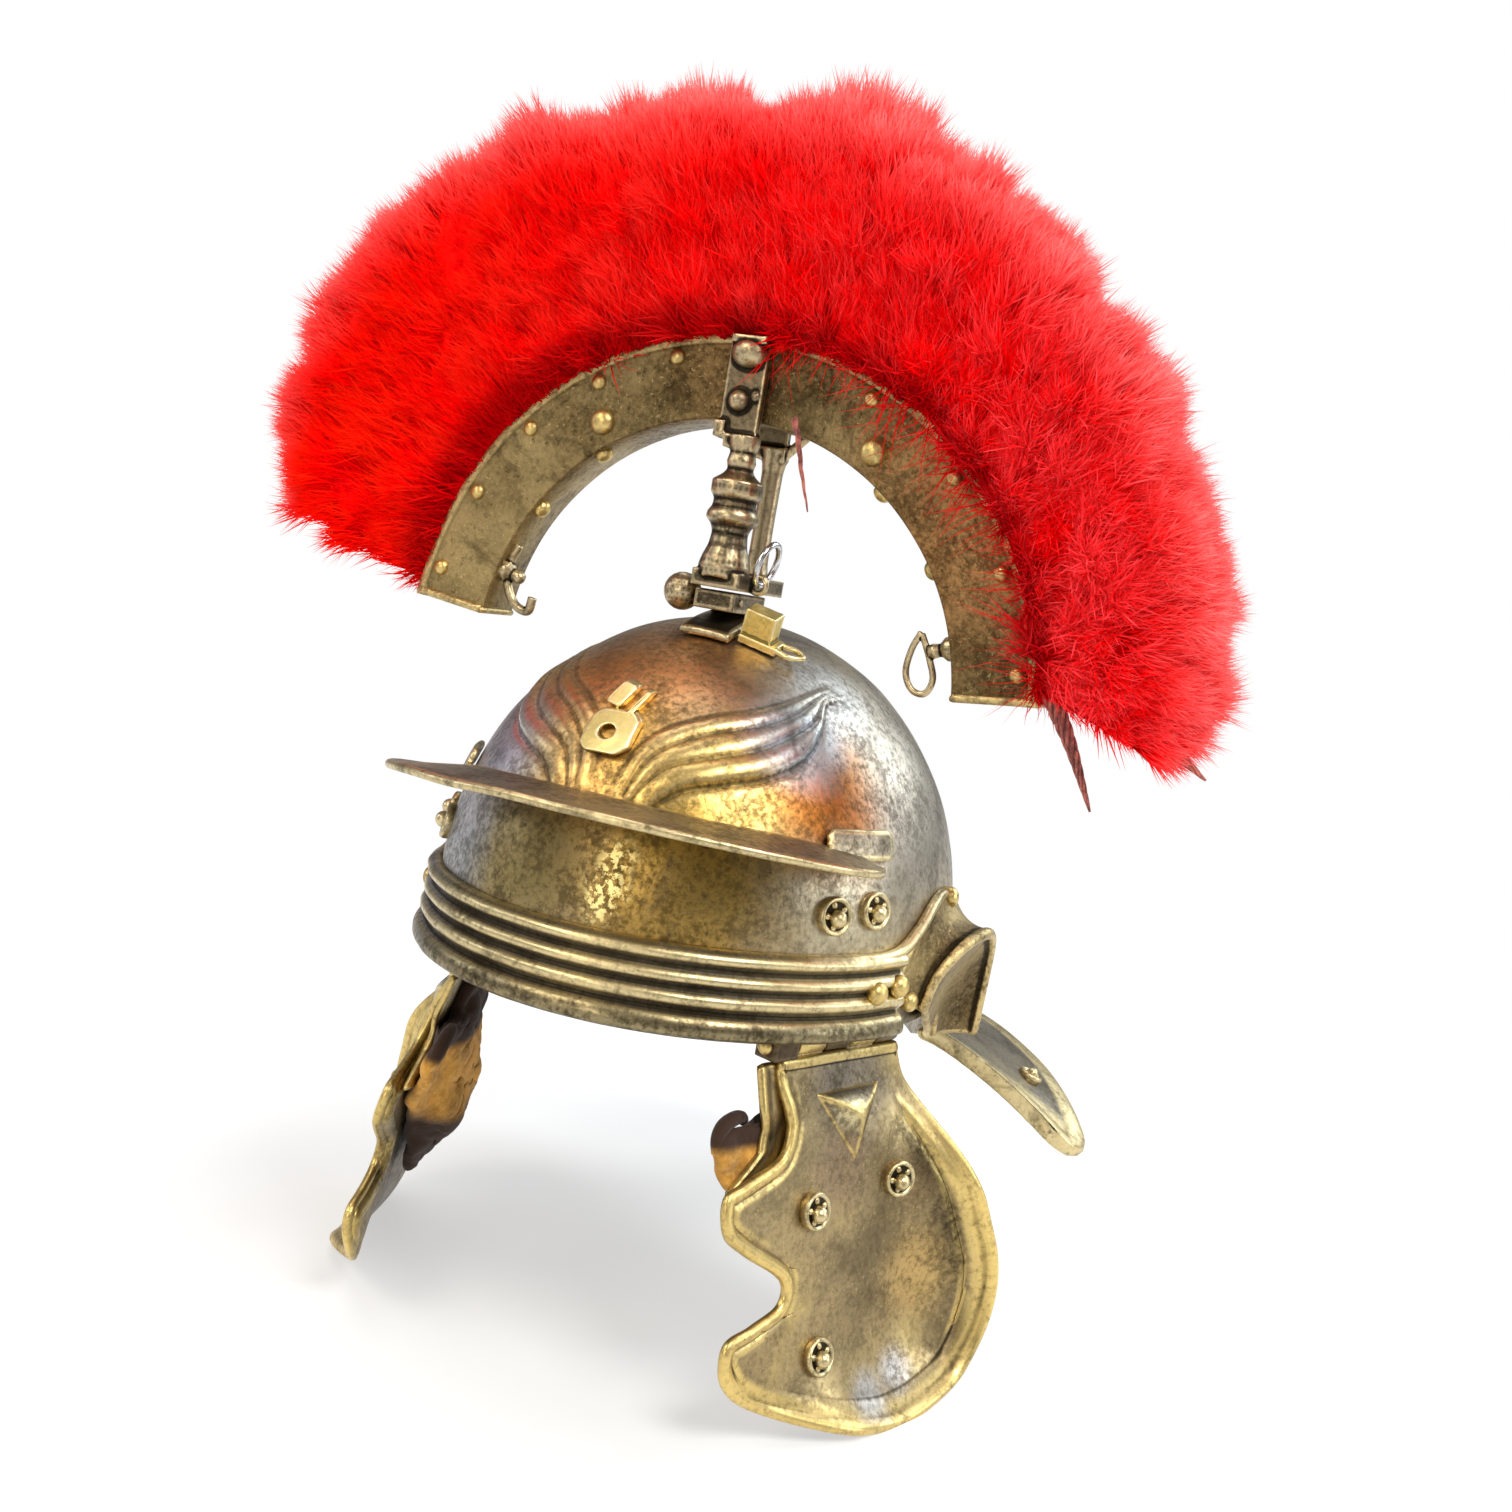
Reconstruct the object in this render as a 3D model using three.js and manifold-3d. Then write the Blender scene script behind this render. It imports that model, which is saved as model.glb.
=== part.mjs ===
// A one-sixth scale Roman helmet with a transverse fur crest, in millimetres.
// The origin is the centre of the head opening in the plane of the brow rim.
// The face looks along -Y, the wearer's left is +X, and the crown is up +Z.

import * as THREE from 'three';
import { mergeVertices } from 'three/addons/utils/BufferGeometryUtils.js';
import Module from 'manifold-3d';

const wasm = await Module();
wasm.setup();

// Driving dimensions of the bowl
const BOWL_HALF_WIDTH = 17.6;
const BOWL_HALF_LENGTH = 20.8;
const BOWL_HEIGHT = 24.5;
const BOWL_STRAIGHT = 4.6;
const BOWL_ROUNDNESS = 2.0;
const BOWL_WALL = 0.8;
const NAPE_DROP = 4.2;
const NAPE_START_ANGLE = 97;
const NAPE_FULL_ANGLE = 122;

// Clearance between neighbouring pieces, and under a riveted ornament
const GAP = 0.12;
const ORNAMENT_GAP = 0.3;
const GUARD_ORNAMENT_GAP = 0.45;

// Driving dimensions of the fittings on the bowl
const BAND_HEIGHT = 5.4;
const BAND_END_ANGLE = 74.5;
const PEAK_REACH = 6.6;
const PEAK_END_REACH = 1.0;
const PEAK_LEVEL = 12.9;
const PEAK_FALL = 1.5;
const PEAK_THICKNESS = 0.9;
const PEAK_END_ANGLE = 60;
const PEAK_BEAD = 0.12;
const NECK_RADIUS = 31.4;
const NECK_THICKNESS = 1.1;
const NECK_START_ANGLE = 114;
const NECK_WING_DROP = 11.6;
const NECK_BACK_DROP = 5.5;
const NECK_BEAD = 0.15;
const NECK_ROSETTE_ANGLE = 124;
const NECK_ROSETTE_SHARE = 0.72;
const ROSETTE_RADIUS = 1.4;
const EAR_FLANGE = 3.0;
const EAR_RIM = 1.3;
const EAR_THICKNESS = 0.7;
const MEDALLION_X = -0.8;
const MEDALLION_LEVEL = 16.7;

// Driving dimensions of the cheek guards, for the wearer's left side
const HINGE_FRONT = new THREE.Vector3(11.3, -13.1, -1.1);
const HINGE_REAR = new THREE.Vector3(15.9, -1.0, -1.1);
const GUARD_LEAN = 8.7;
const GUARD_THICKNESS = 0.8;
const GUARD_RIM = 0.45;
const GUARD_FLARE = 3.4;
const GUARD_FLANGE = 4.6;
const GUARD_CAMBER = 1.1;
const KNUCKLE_RADIUS = 0.85;
const PIN_RADIUS = 0.38;
const BORE_CLEARANCE = 0.14;
const LEAF_LENGTH = 13.0;
const LEAF_THICKNESS = 0.6;
const LINING_THICKNESS = 1.2;
const LINING_PADDING = 1.8;

// Driving dimensions of the crest
const CREST_Y = -4.8;
const CREST_CENTRE_Z = 20.0;
const CREST_INNER = 17.5;
const CREST_OUTER = 23.1;
const CREST_HALF_ANGLE = 84;
const CREST_HALF_WIDTH = 2.0;
const CREST_WALL = 0.5;
const POST_OFFSET = 2.75;
const FOOT_LEVEL = 26.4;
const FOOT_HEIGHT = 1.1;
const PIN_LEVEL = 25.6;
const LOCK_PIN_Y = CREST_Y - 1.6;
const END_FITTING_ANGLE = 73;
const BRACKET_X = 0.35;
const POST_X = 0.9;
const SOCKET_X = 0.5;

// Cheek guard outline: distance below the hinge, then the front and rear edges along the hinge.
const GUARD_OUTLINE = [
  { below: 1.15, front: -0.6, rear: 13.0 },
  { below: 2.6, front: -0.5, rear: 13.2 },
  { below: 4.2, front: -0.1, rear: 14.0 },
  { below: 4.7, front: 1.9, rear: 14.4 },
  { below: 7.2, front: 1.4, rear: 16.1 },
  { below: 8.2, front: -2.5, rear: 16.6 },
  { below: 8.7, front: -3.9, rear: 16.8 },
  { below: 10.6, front: -3.9, rear: 17.8 },
  { below: 11.9, front: -2.4, rear: 18.4 },
  { below: 14.3, front: 1.3, rear: 19.5 },
  { below: 16.2, front: 1.3, rear: 20.2 },
  { below: 17.1, front: -1.2, rear: 20.5 },
  { below: 17.6, front: -3.3, rear: 20.5 },
  { below: 19.3, front: -3.3, rear: 20.3 },
  { below: 21.2, front: -1.7, rear: 19.8 },
  { below: 22.8, front: 1.2, rear: 18.8 },
  { below: 24.2, front: 5.0, rear: 17.3 },
  { below: 25.2, front: 8.9, rear: 14.2 },
];

// Suede lining outline, with the loose curl that shows in front of the eye notch.
const LINING_OUTLINE = [
  { below: 2.2, front: 0.6, rear: 9.0 },
  { below: 3.8, front: -0.2, rear: 9.4 },
  { below: 4.7, front: -2.2, rear: 9.8 },
  { below: 5.6, front: -3.0, rear: 10.2 },
  { below: 6.8, front: -2.9, rear: 10.8 },
  { below: 8.2, front: -2.0, rear: 11.4 },
  { below: 9.6, front: -1.0, rear: 12.0 },
  { below: 11.0, front: 0.4, rear: 12.6 },
  { below: 12.4, front: 2.6, rear: 12.9 },
  { below: 14.2, front: 4.0, rear: 12.9 },
  { below: 16.0, front: 5.0, rear: 12.8 },
  { below: 17.4, front: 6.0, rear: 12.6 },
];

// Pile of the plume: angle from the top of the arch and radius of the tips.
const PLUME_OUTLINE = [
  { angle: -86, tips: 35.5 },
  { angle: -76, tips: 38.8 },
  { angle: -60, tips: 40.8 },
  { angle: -46, tips: 42.0 },
  { angle: -26, tips: 40.6 },
  { angle: -12, tips: 39.0 },
  { angle: 8, tips: 38.4 },
  { angle: 28, tips: 36.4 },
  { angle: 50, tips: 35.0 },
  { angle: 72, tips: 34.6 },
  { angle: 90, tips: 33.6 },
];

// Half-thickness of the plume from the lip of the box, at 0, to its tips, at 1.
const PLUME_SECTION = [
  { along: 0.14, half: 3.4 },
  { along: 0.45, half: 5.4 },
  { along: 0.78, half: 6.2 },
  { along: 0.94, half: 4.4 },
];
const PLUME_ROOT_HALF = 1.25;

// Embossed eyebrow, its lower and upper outline seen from the front.
const EYEBROW_LOWER = [[2.2, 14.1], [5.0, 14.6], [8.6, 15.8], [10.2, 17.9], [9.3, 20.3]];
const EYEBROW_UPPER = [[1.2, 14.5], [2.2, 16.0], [4.6, 17.9], [7.6, 19.3], [9.0, 20.6]];
const EYEBROW_RIDGES = 3;
const EYEBROW_RIDGE_RADIUS = 0.45;

// Hood over the ear on the wearer's left, seen from the side.
const EAR_ARCH = [
  [-4.0, 1.6], [-3.2, 3.9], [-0.8, 5.9], [2.6, 6.1], [5.8, 4.0], [7.6, 0.8], [8.4, -2.3],
];

// Rivets at the ends of the brow band and ornaments of the left side.
const BAND_RIVETS = [{ angle: 65, level: 3.0 }, { angle: 71, level: 3.3 }];
const TEMPLE_ROSETTES = [{ angle: 53.5, level: 7.8 }, { angle: 63.5, level: 8.1 }];
const CHEEK_ROSETTES = [
  { along: 3.9, below: 10.6 },
  { along: 12.3, below: 9.8 },
  { along: 4.9, below: 20.1 },
];
const CHEEK_BOSS = { along: 7.8, below: 4.9 };

// Knuckles of the cheek hinge: where each starts and ends along the pin.
const MOVING_KNUCKLES = [[2.7, 5.2], [7.9, 10.4]];
const FIXED_KNUCKLES = [[0.2, 2.5], [5.4, 7.7], [10.6, 12.8]];

// Wires under the ends of the crest box, from the tip of the stud, seen from the front.
const HOOK_PATH = [[0, 1.2], [0.3, 0.2], [0.2, -1.6], [0.8, -2.9], [1.5, -2.3], [1.4, -1.4]];
const LOOP_PATH = [
  [-0.2, 0.4], [-0.9, -1.2], [-1.1, -2.6], [-0.2, -3.6], [0.8, -2.8], [0.7, -1.3], [0.15, 0.3],
];

const finishes = {
  brass: { color: 0x8a6a35, roughness: 0.45, metalness: 0.9 },
  copper: { color: 0x86603c, roughness: 0.4, metalness: 0.9 },
  bright: { color: 0xb98d45, roughness: 0.35, metalness: 0.95 },
  steel: { color: 0x9b9a98, roughness: 0.35, metalness: 0.95 },
  suede: { color: 0xb5642c, roughness: 0.95, metalness: 0.0 },
  fur: { color: 0xd8141c, roughness: 0.9, metalness: 0.0 },
};

const degrees = THREE.MathUtils.degToRad;
const vector = (x, y, z) => new THREE.Vector3(x, y, z);
const helmet = new THREE.Group();

function addPiece(name, finish, geometry) {
  const mesh = new THREE.Mesh(geometry, new THREE.MeshStandardMaterial(finishes[finish]));
  mesh.name = name;
  helmet.add(mesh);
}

// Geometry helpers

// Joins a list of triangles into one closed body with its faces pointing out.
function closedBody(corners) {
  const geometry = new THREE.BufferGeometry();
  const flat = corners.flatMap((point) => [point.x, point.y, point.z]);
  geometry.setAttribute('position', new THREE.Float32BufferAttribute(flat, 3));
  return facingOut(mergeVertices(geometry, 1e-4));
}

function facingOut(geometry) {
  const place = geometry.attributes.position;
  const index = geometry.index.array;
  const kept = [];
  let volume = 0;
  const [a, b, c] = [vector(), vector(), vector()];
  for (let i = 0; i < index.length; i += 3) {
    const [ia, ib, ic] = [index[i], index[i + 1], index[i + 2]];
    if (ia === ib || ib === ic || ia === ic) continue;
    kept.push([ia, ib, ic]);
    a.fromBufferAttribute(place, ia);
    b.fromBufferAttribute(place, ib);
    c.fromBufferAttribute(place, ic);
    volume += a.dot(b.cross(c));
  }
  const turned = volume < 0 ? kept.map(([ia, ib, ic]) => [ia, ic, ib]) : kept;
  geometry.setIndex(turned.flat());
  return geometry;
}

function quad(corners, a, b, c, d) {
  corners.push(a, b, c, a, c, d);
}

// A slab between an outer and an inner grid of points, closed round its edges.
function slab(columns, rows, outer, inner, ring = false) {
  const corners = [];
  const wrap = (i) => (ring ? i % columns : i);
  for (let i = 0; i < columns; i += 1) {
    const [p, q] = [wrap(i), wrap(i + 1)];
    for (let j = 0; j < rows; j += 1) {
      quad(corners, outer(p, j), outer(q, j), outer(q, j + 1), outer(p, j + 1));
      quad(corners, inner(p, j + 1), inner(q, j + 1), inner(q, j), inner(p, j));
    }
    quad(corners, inner(p, 0), inner(q, 0), outer(q, 0), outer(p, 0));
    quad(corners, outer(p, rows), outer(q, rows), inner(q, rows), inner(p, rows));
  }
  for (let j = 0; j < rows && !ring; j += 1) {
    quad(corners, outer(0, j), outer(0, j + 1), inner(0, j + 1), inner(0, j));
    quad(corners, inner(columns, j), inner(columns, j + 1), outer(columns, j + 1), outer(columns, j));
  }
  return closedBody(corners);
}

// A solid through a row of closed sections that all map the same flat profile.
function loft(profile, steps, place) {
  const corners = [];
  const points = (step) => profile.map(([across, along]) => place(step / steps, across, along));
  const count = profile.length;
  for (let step = 0; step < steps; step += 1) {
    const [near, next] = [points(step), points(step + 1)];
    for (let i = 0; i < count; i += 1) {
      const k = (i + 1) % count;
      quad(corners, near[i], near[k], next[k], next[i]);
    }
  }
  const flat = profile.map(([across, along]) => new THREE.Vector2(across, along));
  const start = points(0);
  const end = points(steps);
  const turn = THREE.ShapeUtils.area(flat) > 0 ? 1 : -1;
  for (const face of THREE.ShapeUtils.triangulateShape(flat, [])) {
    const [a, b, c] = turn > 0 ? face : [face[0], face[2], face[1]];
    corners.push(start[a], start[c], start[b], end[a], end[b], end[c]);
  }
  return closedBody(corners);
}

// A round wire along a smooth curve.
function wire(points, radius, steps, sides = 6) {
  const curve = new THREE.CatmullRomCurve3(points);
  const round = new THREE.Shape();
  round.absarc(0, 0, radius, 0, Math.PI * 2);
  const options = { steps, extrudePath: curve, curveSegments: sides / 2, bevelEnabled: false };
  return bare(new THREE.ExtrudeGeometry(round, options));
}

function bare(geometry) {
  const plain = geometry.clone();
  plain.deleteAttribute('normal');
  plain.deleteAttribute('uv');
  return facingOut(mergeVertices(plain, 1e-4));
}

function solid(geometry) {
  const plain = bare(geometry);
  const vertProperties = new Float32Array(plain.attributes.position.array);
  const triVerts = new Uint32Array(plain.index.array);
  return new wasm.Manifold(new wasm.Mesh({ numProp: 3, vertProperties, triVerts }));
}

function fromSolid(body) {
  const mesh = body.getMesh();
  const geometry = new THREE.BufferGeometry();
  geometry.setAttribute('position', new THREE.Float32BufferAttribute(mesh.vertProperties, 3));
  geometry.setIndex(Array.from(mesh.triVerts));
  return geometry;
}

function fuse(...geometries) {
  return fromSolid(geometries.map(solid).reduce((sum, next) => sum.add(next)));
}

function cut(geometry, ...holes) {
  return fromSolid(holes.map(solid).reduce((body, hole) => body.subtract(hole), solid(geometry)));
}

// Stands a shape's Z axis along a direction at a point.
function stand(geometry, at, direction) {
  const turn = new THREE.Quaternion().setFromUnitVectors(vector(0, 0, 1), direction.clone().normalize());
  return geometry.clone().applyQuaternion(turn).translate(at.x, at.y, at.z);
}

function lathe(profile, sides) {
  const points = profile.map(([radius, height]) => new THREE.Vector2(radius, height));
  return new THREE.LatheGeometry(points, sides).rotateX(Math.PI / 2);
}

function rod(from, to, radius, sides = 10) {
  const length = from.distanceTo(to);
  const post = new THREE.CylinderGeometry(radius, radius, length, sides).rotateX(Math.PI / 2);
  const middle = from.clone().lerp(to, 0.5);
  return stand(post, middle, to.clone().sub(from));
}

function block(centre, width, depth, height) {
  return new THREE.BoxGeometry(width, depth, height).translate(centre.x, centre.y, centre.z);
}

function ball(centre, radius, sides = 8) {
  return new THREE.SphereGeometry(radius, sides, sides / 2).translate(centre.x, centre.y, centre.z);
}

function mirrored(geometry) {
  return bare(geometry.clone().scale(-1, 1, 1));
}

// Looks a value up in a table by straight lines between its rows.
function tableValue(table, key, value, at) {
  const first = table[0];
  if (at <= first[key]) return first[value];
  for (let i = 1; i < table.length; i += 1) {
    const [low, high] = [table[i - 1], table[i]];
    if (at <= high[key]) {
      const share = (at - low[key]) / (high[key] - low[key]);
      return THREE.MathUtils.lerp(low[value], high[value], share);
    }
  }
  return table[table.length - 1][value];
}

// Bowl surface

// How far the lower edge hangs below the brow rim, by the angle from the front.
function napeDrop(angle) {
  const [start, full] = [degrees(NAPE_START_ANGLE), degrees(NAPE_FULL_ANGLE)];
  return NAPE_DROP * THREE.MathUtils.smoothstep(Math.abs(angle), start, full);
}

// A point on the bowl, or lifted off it, at an angle from the front and a level.
function bowlPoint(angle, level, lift = 0) {
  const power = BOWL_ROUNDNESS;
  const rise = Math.max(level - BOWL_STRAIGHT, 0) / (BOWL_HEIGHT - BOWL_STRAIGHT + lift);
  const share = Math.max(1 - rise ** power, 0) ** (1 / power);
  const [s, c] = [Math.sin(angle), Math.cos(angle)];
  const x = (BOWL_HALF_WIDTH + lift) * share * Math.sign(s) * Math.abs(s) ** (2 / power);
  const y = -(BOWL_HALF_LENGTH + lift) * share * Math.sign(c) * Math.abs(c) ** (2 / power);
  return vector(x, y, level);
}

// Share of the third half-axis that is left for a point of the bowl's surface.
function surfaceShare(...terms) {
  const sum = terms.reduce((total, [value, size]) => total + Math.abs(value / size) ** BOWL_ROUNDNESS, 0);
  return Math.max(1 - sum, 0) ** (1 / BOWL_ROUNDNESS);
}

function bowlTop(x, y, lift = 0) {
  const share = surfaceShare([x, BOWL_HALF_WIDTH + lift], [y, BOWL_HALF_LENGTH + lift]);
  return vector(x, y, BOWL_STRAIGHT + (BOWL_HEIGHT - BOWL_STRAIGHT + lift) * share);
}

function bowlFront(x, z, lift = 0) {
  const rise = Math.max(z - BOWL_STRAIGHT, 0);
  const share = surfaceShare([x, BOWL_HALF_WIDTH + lift], [rise, BOWL_HEIGHT - BOWL_STRAIGHT + lift]);
  return vector(x, -(BOWL_HALF_LENGTH + lift) * share, z);
}

function bowlSide(y, z, lift = 0) {
  const rise = Math.max(z - BOWL_STRAIGHT, 0);
  const share = surfaceShare([y, BOWL_HALF_LENGTH + lift], [rise, BOWL_HEIGHT - BOWL_STRAIGHT + lift]);
  return vector((BOWL_HALF_WIDTH + lift) * share, y, z);
}

function bowlNormal(point) {
  const power = BOWL_ROUNDNESS - 1;
  const slope = (value, size) => (Math.sign(value) * Math.abs(value / size) ** power) / size;
  const rise = Math.max(point.z - BOWL_STRAIGHT, 0);
  return vector(
    slope(point.x, BOWL_HALF_WIDTH),
    slope(point.y, BOWL_HALF_LENGTH),
    slope(rise, BOWL_HEIGHT - BOWL_STRAIGHT),
  ).normalize();
}

function bowl() {
  const [columns, rows, straightRows] = [30, 9, 1];
  const shell = (lift) => (i, j) => {
    const angle = (i / columns) * Math.PI * 2 - Math.PI;
    const low = -napeDrop(angle);
    if (j <= straightRows) {
      return bowlPoint(angle, THREE.MathUtils.lerp(low, BOWL_STRAIGHT, j / straightRows), lift);
    }
    const share = (j - straightRows) / (rows - straightRows);
    const rise = Math.sin(share * Math.PI / 2) ** (2 / BOWL_ROUNDNESS);
    const top = BOWL_HEIGHT - BOWL_STRAIGHT + lift;
    return bowlPoint(angle, BOWL_STRAIGHT + top * rise, lift);
  };
  const shape = slab(columns, rows, shell(0), shell(-BOWL_WALL), true);
  return fuse(shape, ...eyebrow(1), ...eyebrow(-1));
}

// Ridges of one embossed eyebrow, each a flattened wire half sunk in the bowl.
function eyebrow(side) {
  const spline = (row) => new THREE.SplineCurve(row.map(([x, z]) => new THREE.Vector2(x, z)));
  const [lower, upper] = [spline(EYEBROW_LOWER), spline(EYEBROW_UPPER)];
  const ridges = [];
  for (let ridge = 0; ridge < EYEBROW_RIDGES; ridge += 1) {
    const points = [0.06, 0.24, 0.41, 0.59, 0.76, 0.94].map((share) => {
      const flat = lower.getPoint(share).lerp(upper.getPoint(share), ridge / (EYEBROW_RIDGES - 1));
      return bowlFront(side * flat.x, flat.y, 0.05);
    });
    ridges.push(wire(points, EYEBROW_RIDGE_RADIUS, 7, 4));
  }
  return ridges;
}

// Brow band, three ridges over a thicker foot: lift off the bowl and level of its section.
function browBand() {
  const profile = [
    [GAP, 0.0], [1.25, 0.0], [1.3, 0.55], [0.75, 0.95], [1.15, 1.6], [1.15, 2.3], [0.7, 2.75],
    [1.1, 3.2], [1.1, 3.8], [0.7, 4.2], [1.0, 4.6], [1.0, 5.0], [0.6, BAND_HEIGHT], [GAP, BAND_HEIGHT],
  ];
  const end = degrees(BAND_END_ANGLE);
  const place = (share, lift, level) => bowlPoint(THREE.MathUtils.lerp(-end, end, share), level, lift);
  const [seat, size] = [1.0, 0.75];
  const rivets = [-1, 1].flatMap((side) => BAND_RIVETS.map(({ angle, level }) => {
    return ball(bowlPoint(side * degrees(angle), level, seat), size);
  }));
  return fuse(loft(profile, 22, place), ...rivets);
}

// The peak is a crescent shelf over the brow with a thick outer edge.
function peak() {
  const end = degrees(PEAK_END_ANGLE);
  const bulge = (angle) => Math.sqrt(1 - Math.abs(angle / end) ** 5);
  const reach = (angle) => THREE.MathUtils.lerp(PEAK_END_REACH, PEAK_REACH, bulge(angle));
  const [columns, rows] = [26, 2];
  const face = (side) => (i, j) => {
    const angle = THREE.MathUtils.lerp(-end, end, i / columns);
    const level = PEAK_LEVEL - PEAK_FALL * Math.abs(angle / end) ** 2;
    const root = bowlPoint(angle, level - PEAK_THICKNESS, GAP);
    const out = vector(root.x, root.y, 0).normalize();
    const edge = j === rows ? PEAK_BEAD : 0;
    const point = root.addScaledVector(out, reach(angle) * (j / rows));
    return point.setZ(level + side * (PEAK_THICKNESS / 2 + edge));
  };
  return slab(columns, rows, face(1), face(-1));
}

// Neck guard, a drooping collar round the nape with a thick edge and rounded wings.
function neckPoint(angle, share, up) {
  const across = Math.abs(Math.PI - Math.abs(angle)) / (Math.PI - degrees(NECK_START_ANGLE));
  const fall = THREE.MathUtils.lerp(NECK_BACK_DROP, NECK_WING_DROP, across ** 3);
  const corner = THREE.MathUtils.clamp((across - 0.9) / 0.1, 0, 1);
  const reach = share * (1 - 0.2 * (1 - Math.sqrt(1 - corner ** 2)));
  const inner = bowlPoint(angle, 0, 0.2);
  const outer = vector(Math.sin(angle), -Math.cos(angle), 0).multiplyScalar(NECK_RADIUS);
  const point = inner.lerp(outer, reach);
  point.z = -THREE.MathUtils.lerp(NAPE_DROP - 0.8, fall, reach ** 1.3) + up;
  return point;
}

function neckGuard() {
  const start = degrees(NECK_START_ANGLE);
  const [columns, rows] = [20, 3];
  const face = (up) => (i, j) => {
    const angle = THREE.MathUtils.lerp(start, Math.PI * 2 - start, i / columns);
    const edge = j === rows ? NECK_BEAD : 0;
    return neckPoint(angle, j / rows, up * (NECK_THICKNESS / 2 + edge));
  };
  return slab(columns, rows, face(1), face(-1));
}

// Hood over one ear, an angle section bent along an arch on the side of the bowl.
function earGuard() {
  const points = EAR_ARCH.map(([y, z]) => new THREE.Vector2(y, z));
  const arch = new THREE.SplineCurve(points);
  const [half, root] = [EAR_THICKNESS / 2, GAP + EAR_THICKNESS];
  const profile = [
    [GAP, -half], [EAR_FLANGE, -half], [EAR_FLANGE, half], [root, half], [root, EAR_RIM], [GAP, EAR_RIM],
  ];
  const place = (share, lift, away) => {
    const flat = arch.getPoint(share);
    const along = arch.getTangent(share);
    const spread = new THREE.Vector2(-along.y, along.x).multiplyScalar(away);
    const taper = 0.45 + 0.6 * THREE.MathUtils.smoothstep(share, 0, 0.45);
    const at = bowlSide(flat.x + spread.x, flat.y + spread.y, 0);
    return bowlSide(at.y, at.z, lift <= root ? lift : lift * taper);
  };
  return loft(profile, 16, place);
}

// Rosette, a dished washer under a ball-headed rivet.
function rosette(at, direction) {
  const profile = [[0, 0], [1, 0], [1, 0.26], [0.56, 0.26], [0.42, 0.58], [0, 0.74]];
  const sized = profile.map((point) => point.map((value) => value * ROSETTE_RADIUS));
  return bare(stand(lathe(sized, 7), at, direction));
}

// Cheek guard frame, for the wearer's left side

const hingeAlong = HINGE_REAR.clone().sub(HINGE_FRONT).normalize();
const hingeOut = vector(hingeAlong.y, -hingeAlong.x, 0);
const guardDown = vector(0, 0, -Math.cos(degrees(GUARD_LEAN)))
  .addScaledVector(hingeOut, Math.sin(degrees(GUARD_LEAN)));
const guardOut = hingeOut.clone().multiplyScalar(Math.cos(degrees(GUARD_LEAN)))
  .add(vector(0, 0, Math.sin(degrees(GUARD_LEAN))));

function guardPoint(along, below, out) {
  return HINGE_FRONT.clone().addScaledVector(hingeAlong, along)
    .addScaledVector(guardDown, below).addScaledVector(guardOut, out);
}

// The plate swells outward in the middle, and its rear and lower edges flare.
function guardSwell(along, below) {
  const rear = tableValue(GUARD_OUTLINE, 'below', 'rear', below);
  const bottom = GUARD_OUTLINE[GUARD_OUTLINE.length - 1].below;
  const toEdge = Math.min(rear - along, (bottom - below) * 0.9 + 0.2);
  const flare = GUARD_FLARE * (1 - THREE.MathUtils.smoothstep(toEdge, -0.5, GUARD_FLANGE));
  const grown = THREE.MathUtils.smoothstep(below, 3.0, 12.0);
  const camber = GUARD_CAMBER * Math.sin(Math.PI * THREE.MathUtils.clamp((below - 1) / bottom, 0, 1));
  return flare * grown + camber;
}

// A sheet on the guard's curve between two faces, with columns that follow its edges.
function guardSheet(outline, frontInsets, rearInsets, outFace, inFace) {
  const rows = outline.length - 1;
  const columns = frontInsets.length + rearInsets.length - 1;
  const along = (i, { front, rear }) => {
    const fromFront = i < frontInsets.length;
    return fromFront ? front + frontInsets[i] : rear - rearInsets[columns - i];
  };
  const face = (height) => (i, j) => {
    const u = along(i, outline[j]);
    const below = outline[j].below;
    const onRim = Math.min(i, columns - i) <= 1 || j === rows;
    return guardPoint(u, below, guardSwell(u, below) + height(onRim, below));
  };
  return slab(columns, rows, face(outFace), face(inFace));
}

function knuckle(from, to) {
  const at = (along) => guardPoint(along, 0, 0);
  return rod(at(from), at(to), KNUCKLE_RADIUS, 8);
}

function hingeBore() {
  return rod(guardPoint(-1, 0, 0), guardPoint(LEAF_LENGTH + 1, 0, 0), PIN_RADIUS + BORE_CLEARANCE, 8);
}

function cheekGuard() {
  const face = GUARD_THICKNESS / 2;
  const raised = (onRim) => face + (onRim ? GUARD_RIM : 0);
  const rearInsets = [0, 1.0, 1.5, 3.0, GUARD_FLANGE];
  const plate = guardSheet(GUARD_OUTLINE, [0, 1.0, 1.4], rearInsets, raised, () => -face);
  const straps = MOVING_KNUCKLES.map(([from, to]) => {
    const half = LEAF_THICKNESS / 2;
    const strap = [[from, -half], [to, -half], [to, half], [from, half]];
    return loft(strap, 1, (share, along, out) => guardPoint(along, 0.6 + 1.3 * share, out));
  });
  const barrels = MOVING_KNUCKLES.map(([from, to]) => knuckle(from, to));
  return cut(fuse(plate, ...straps, ...barrels), hingeBore());
}

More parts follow.
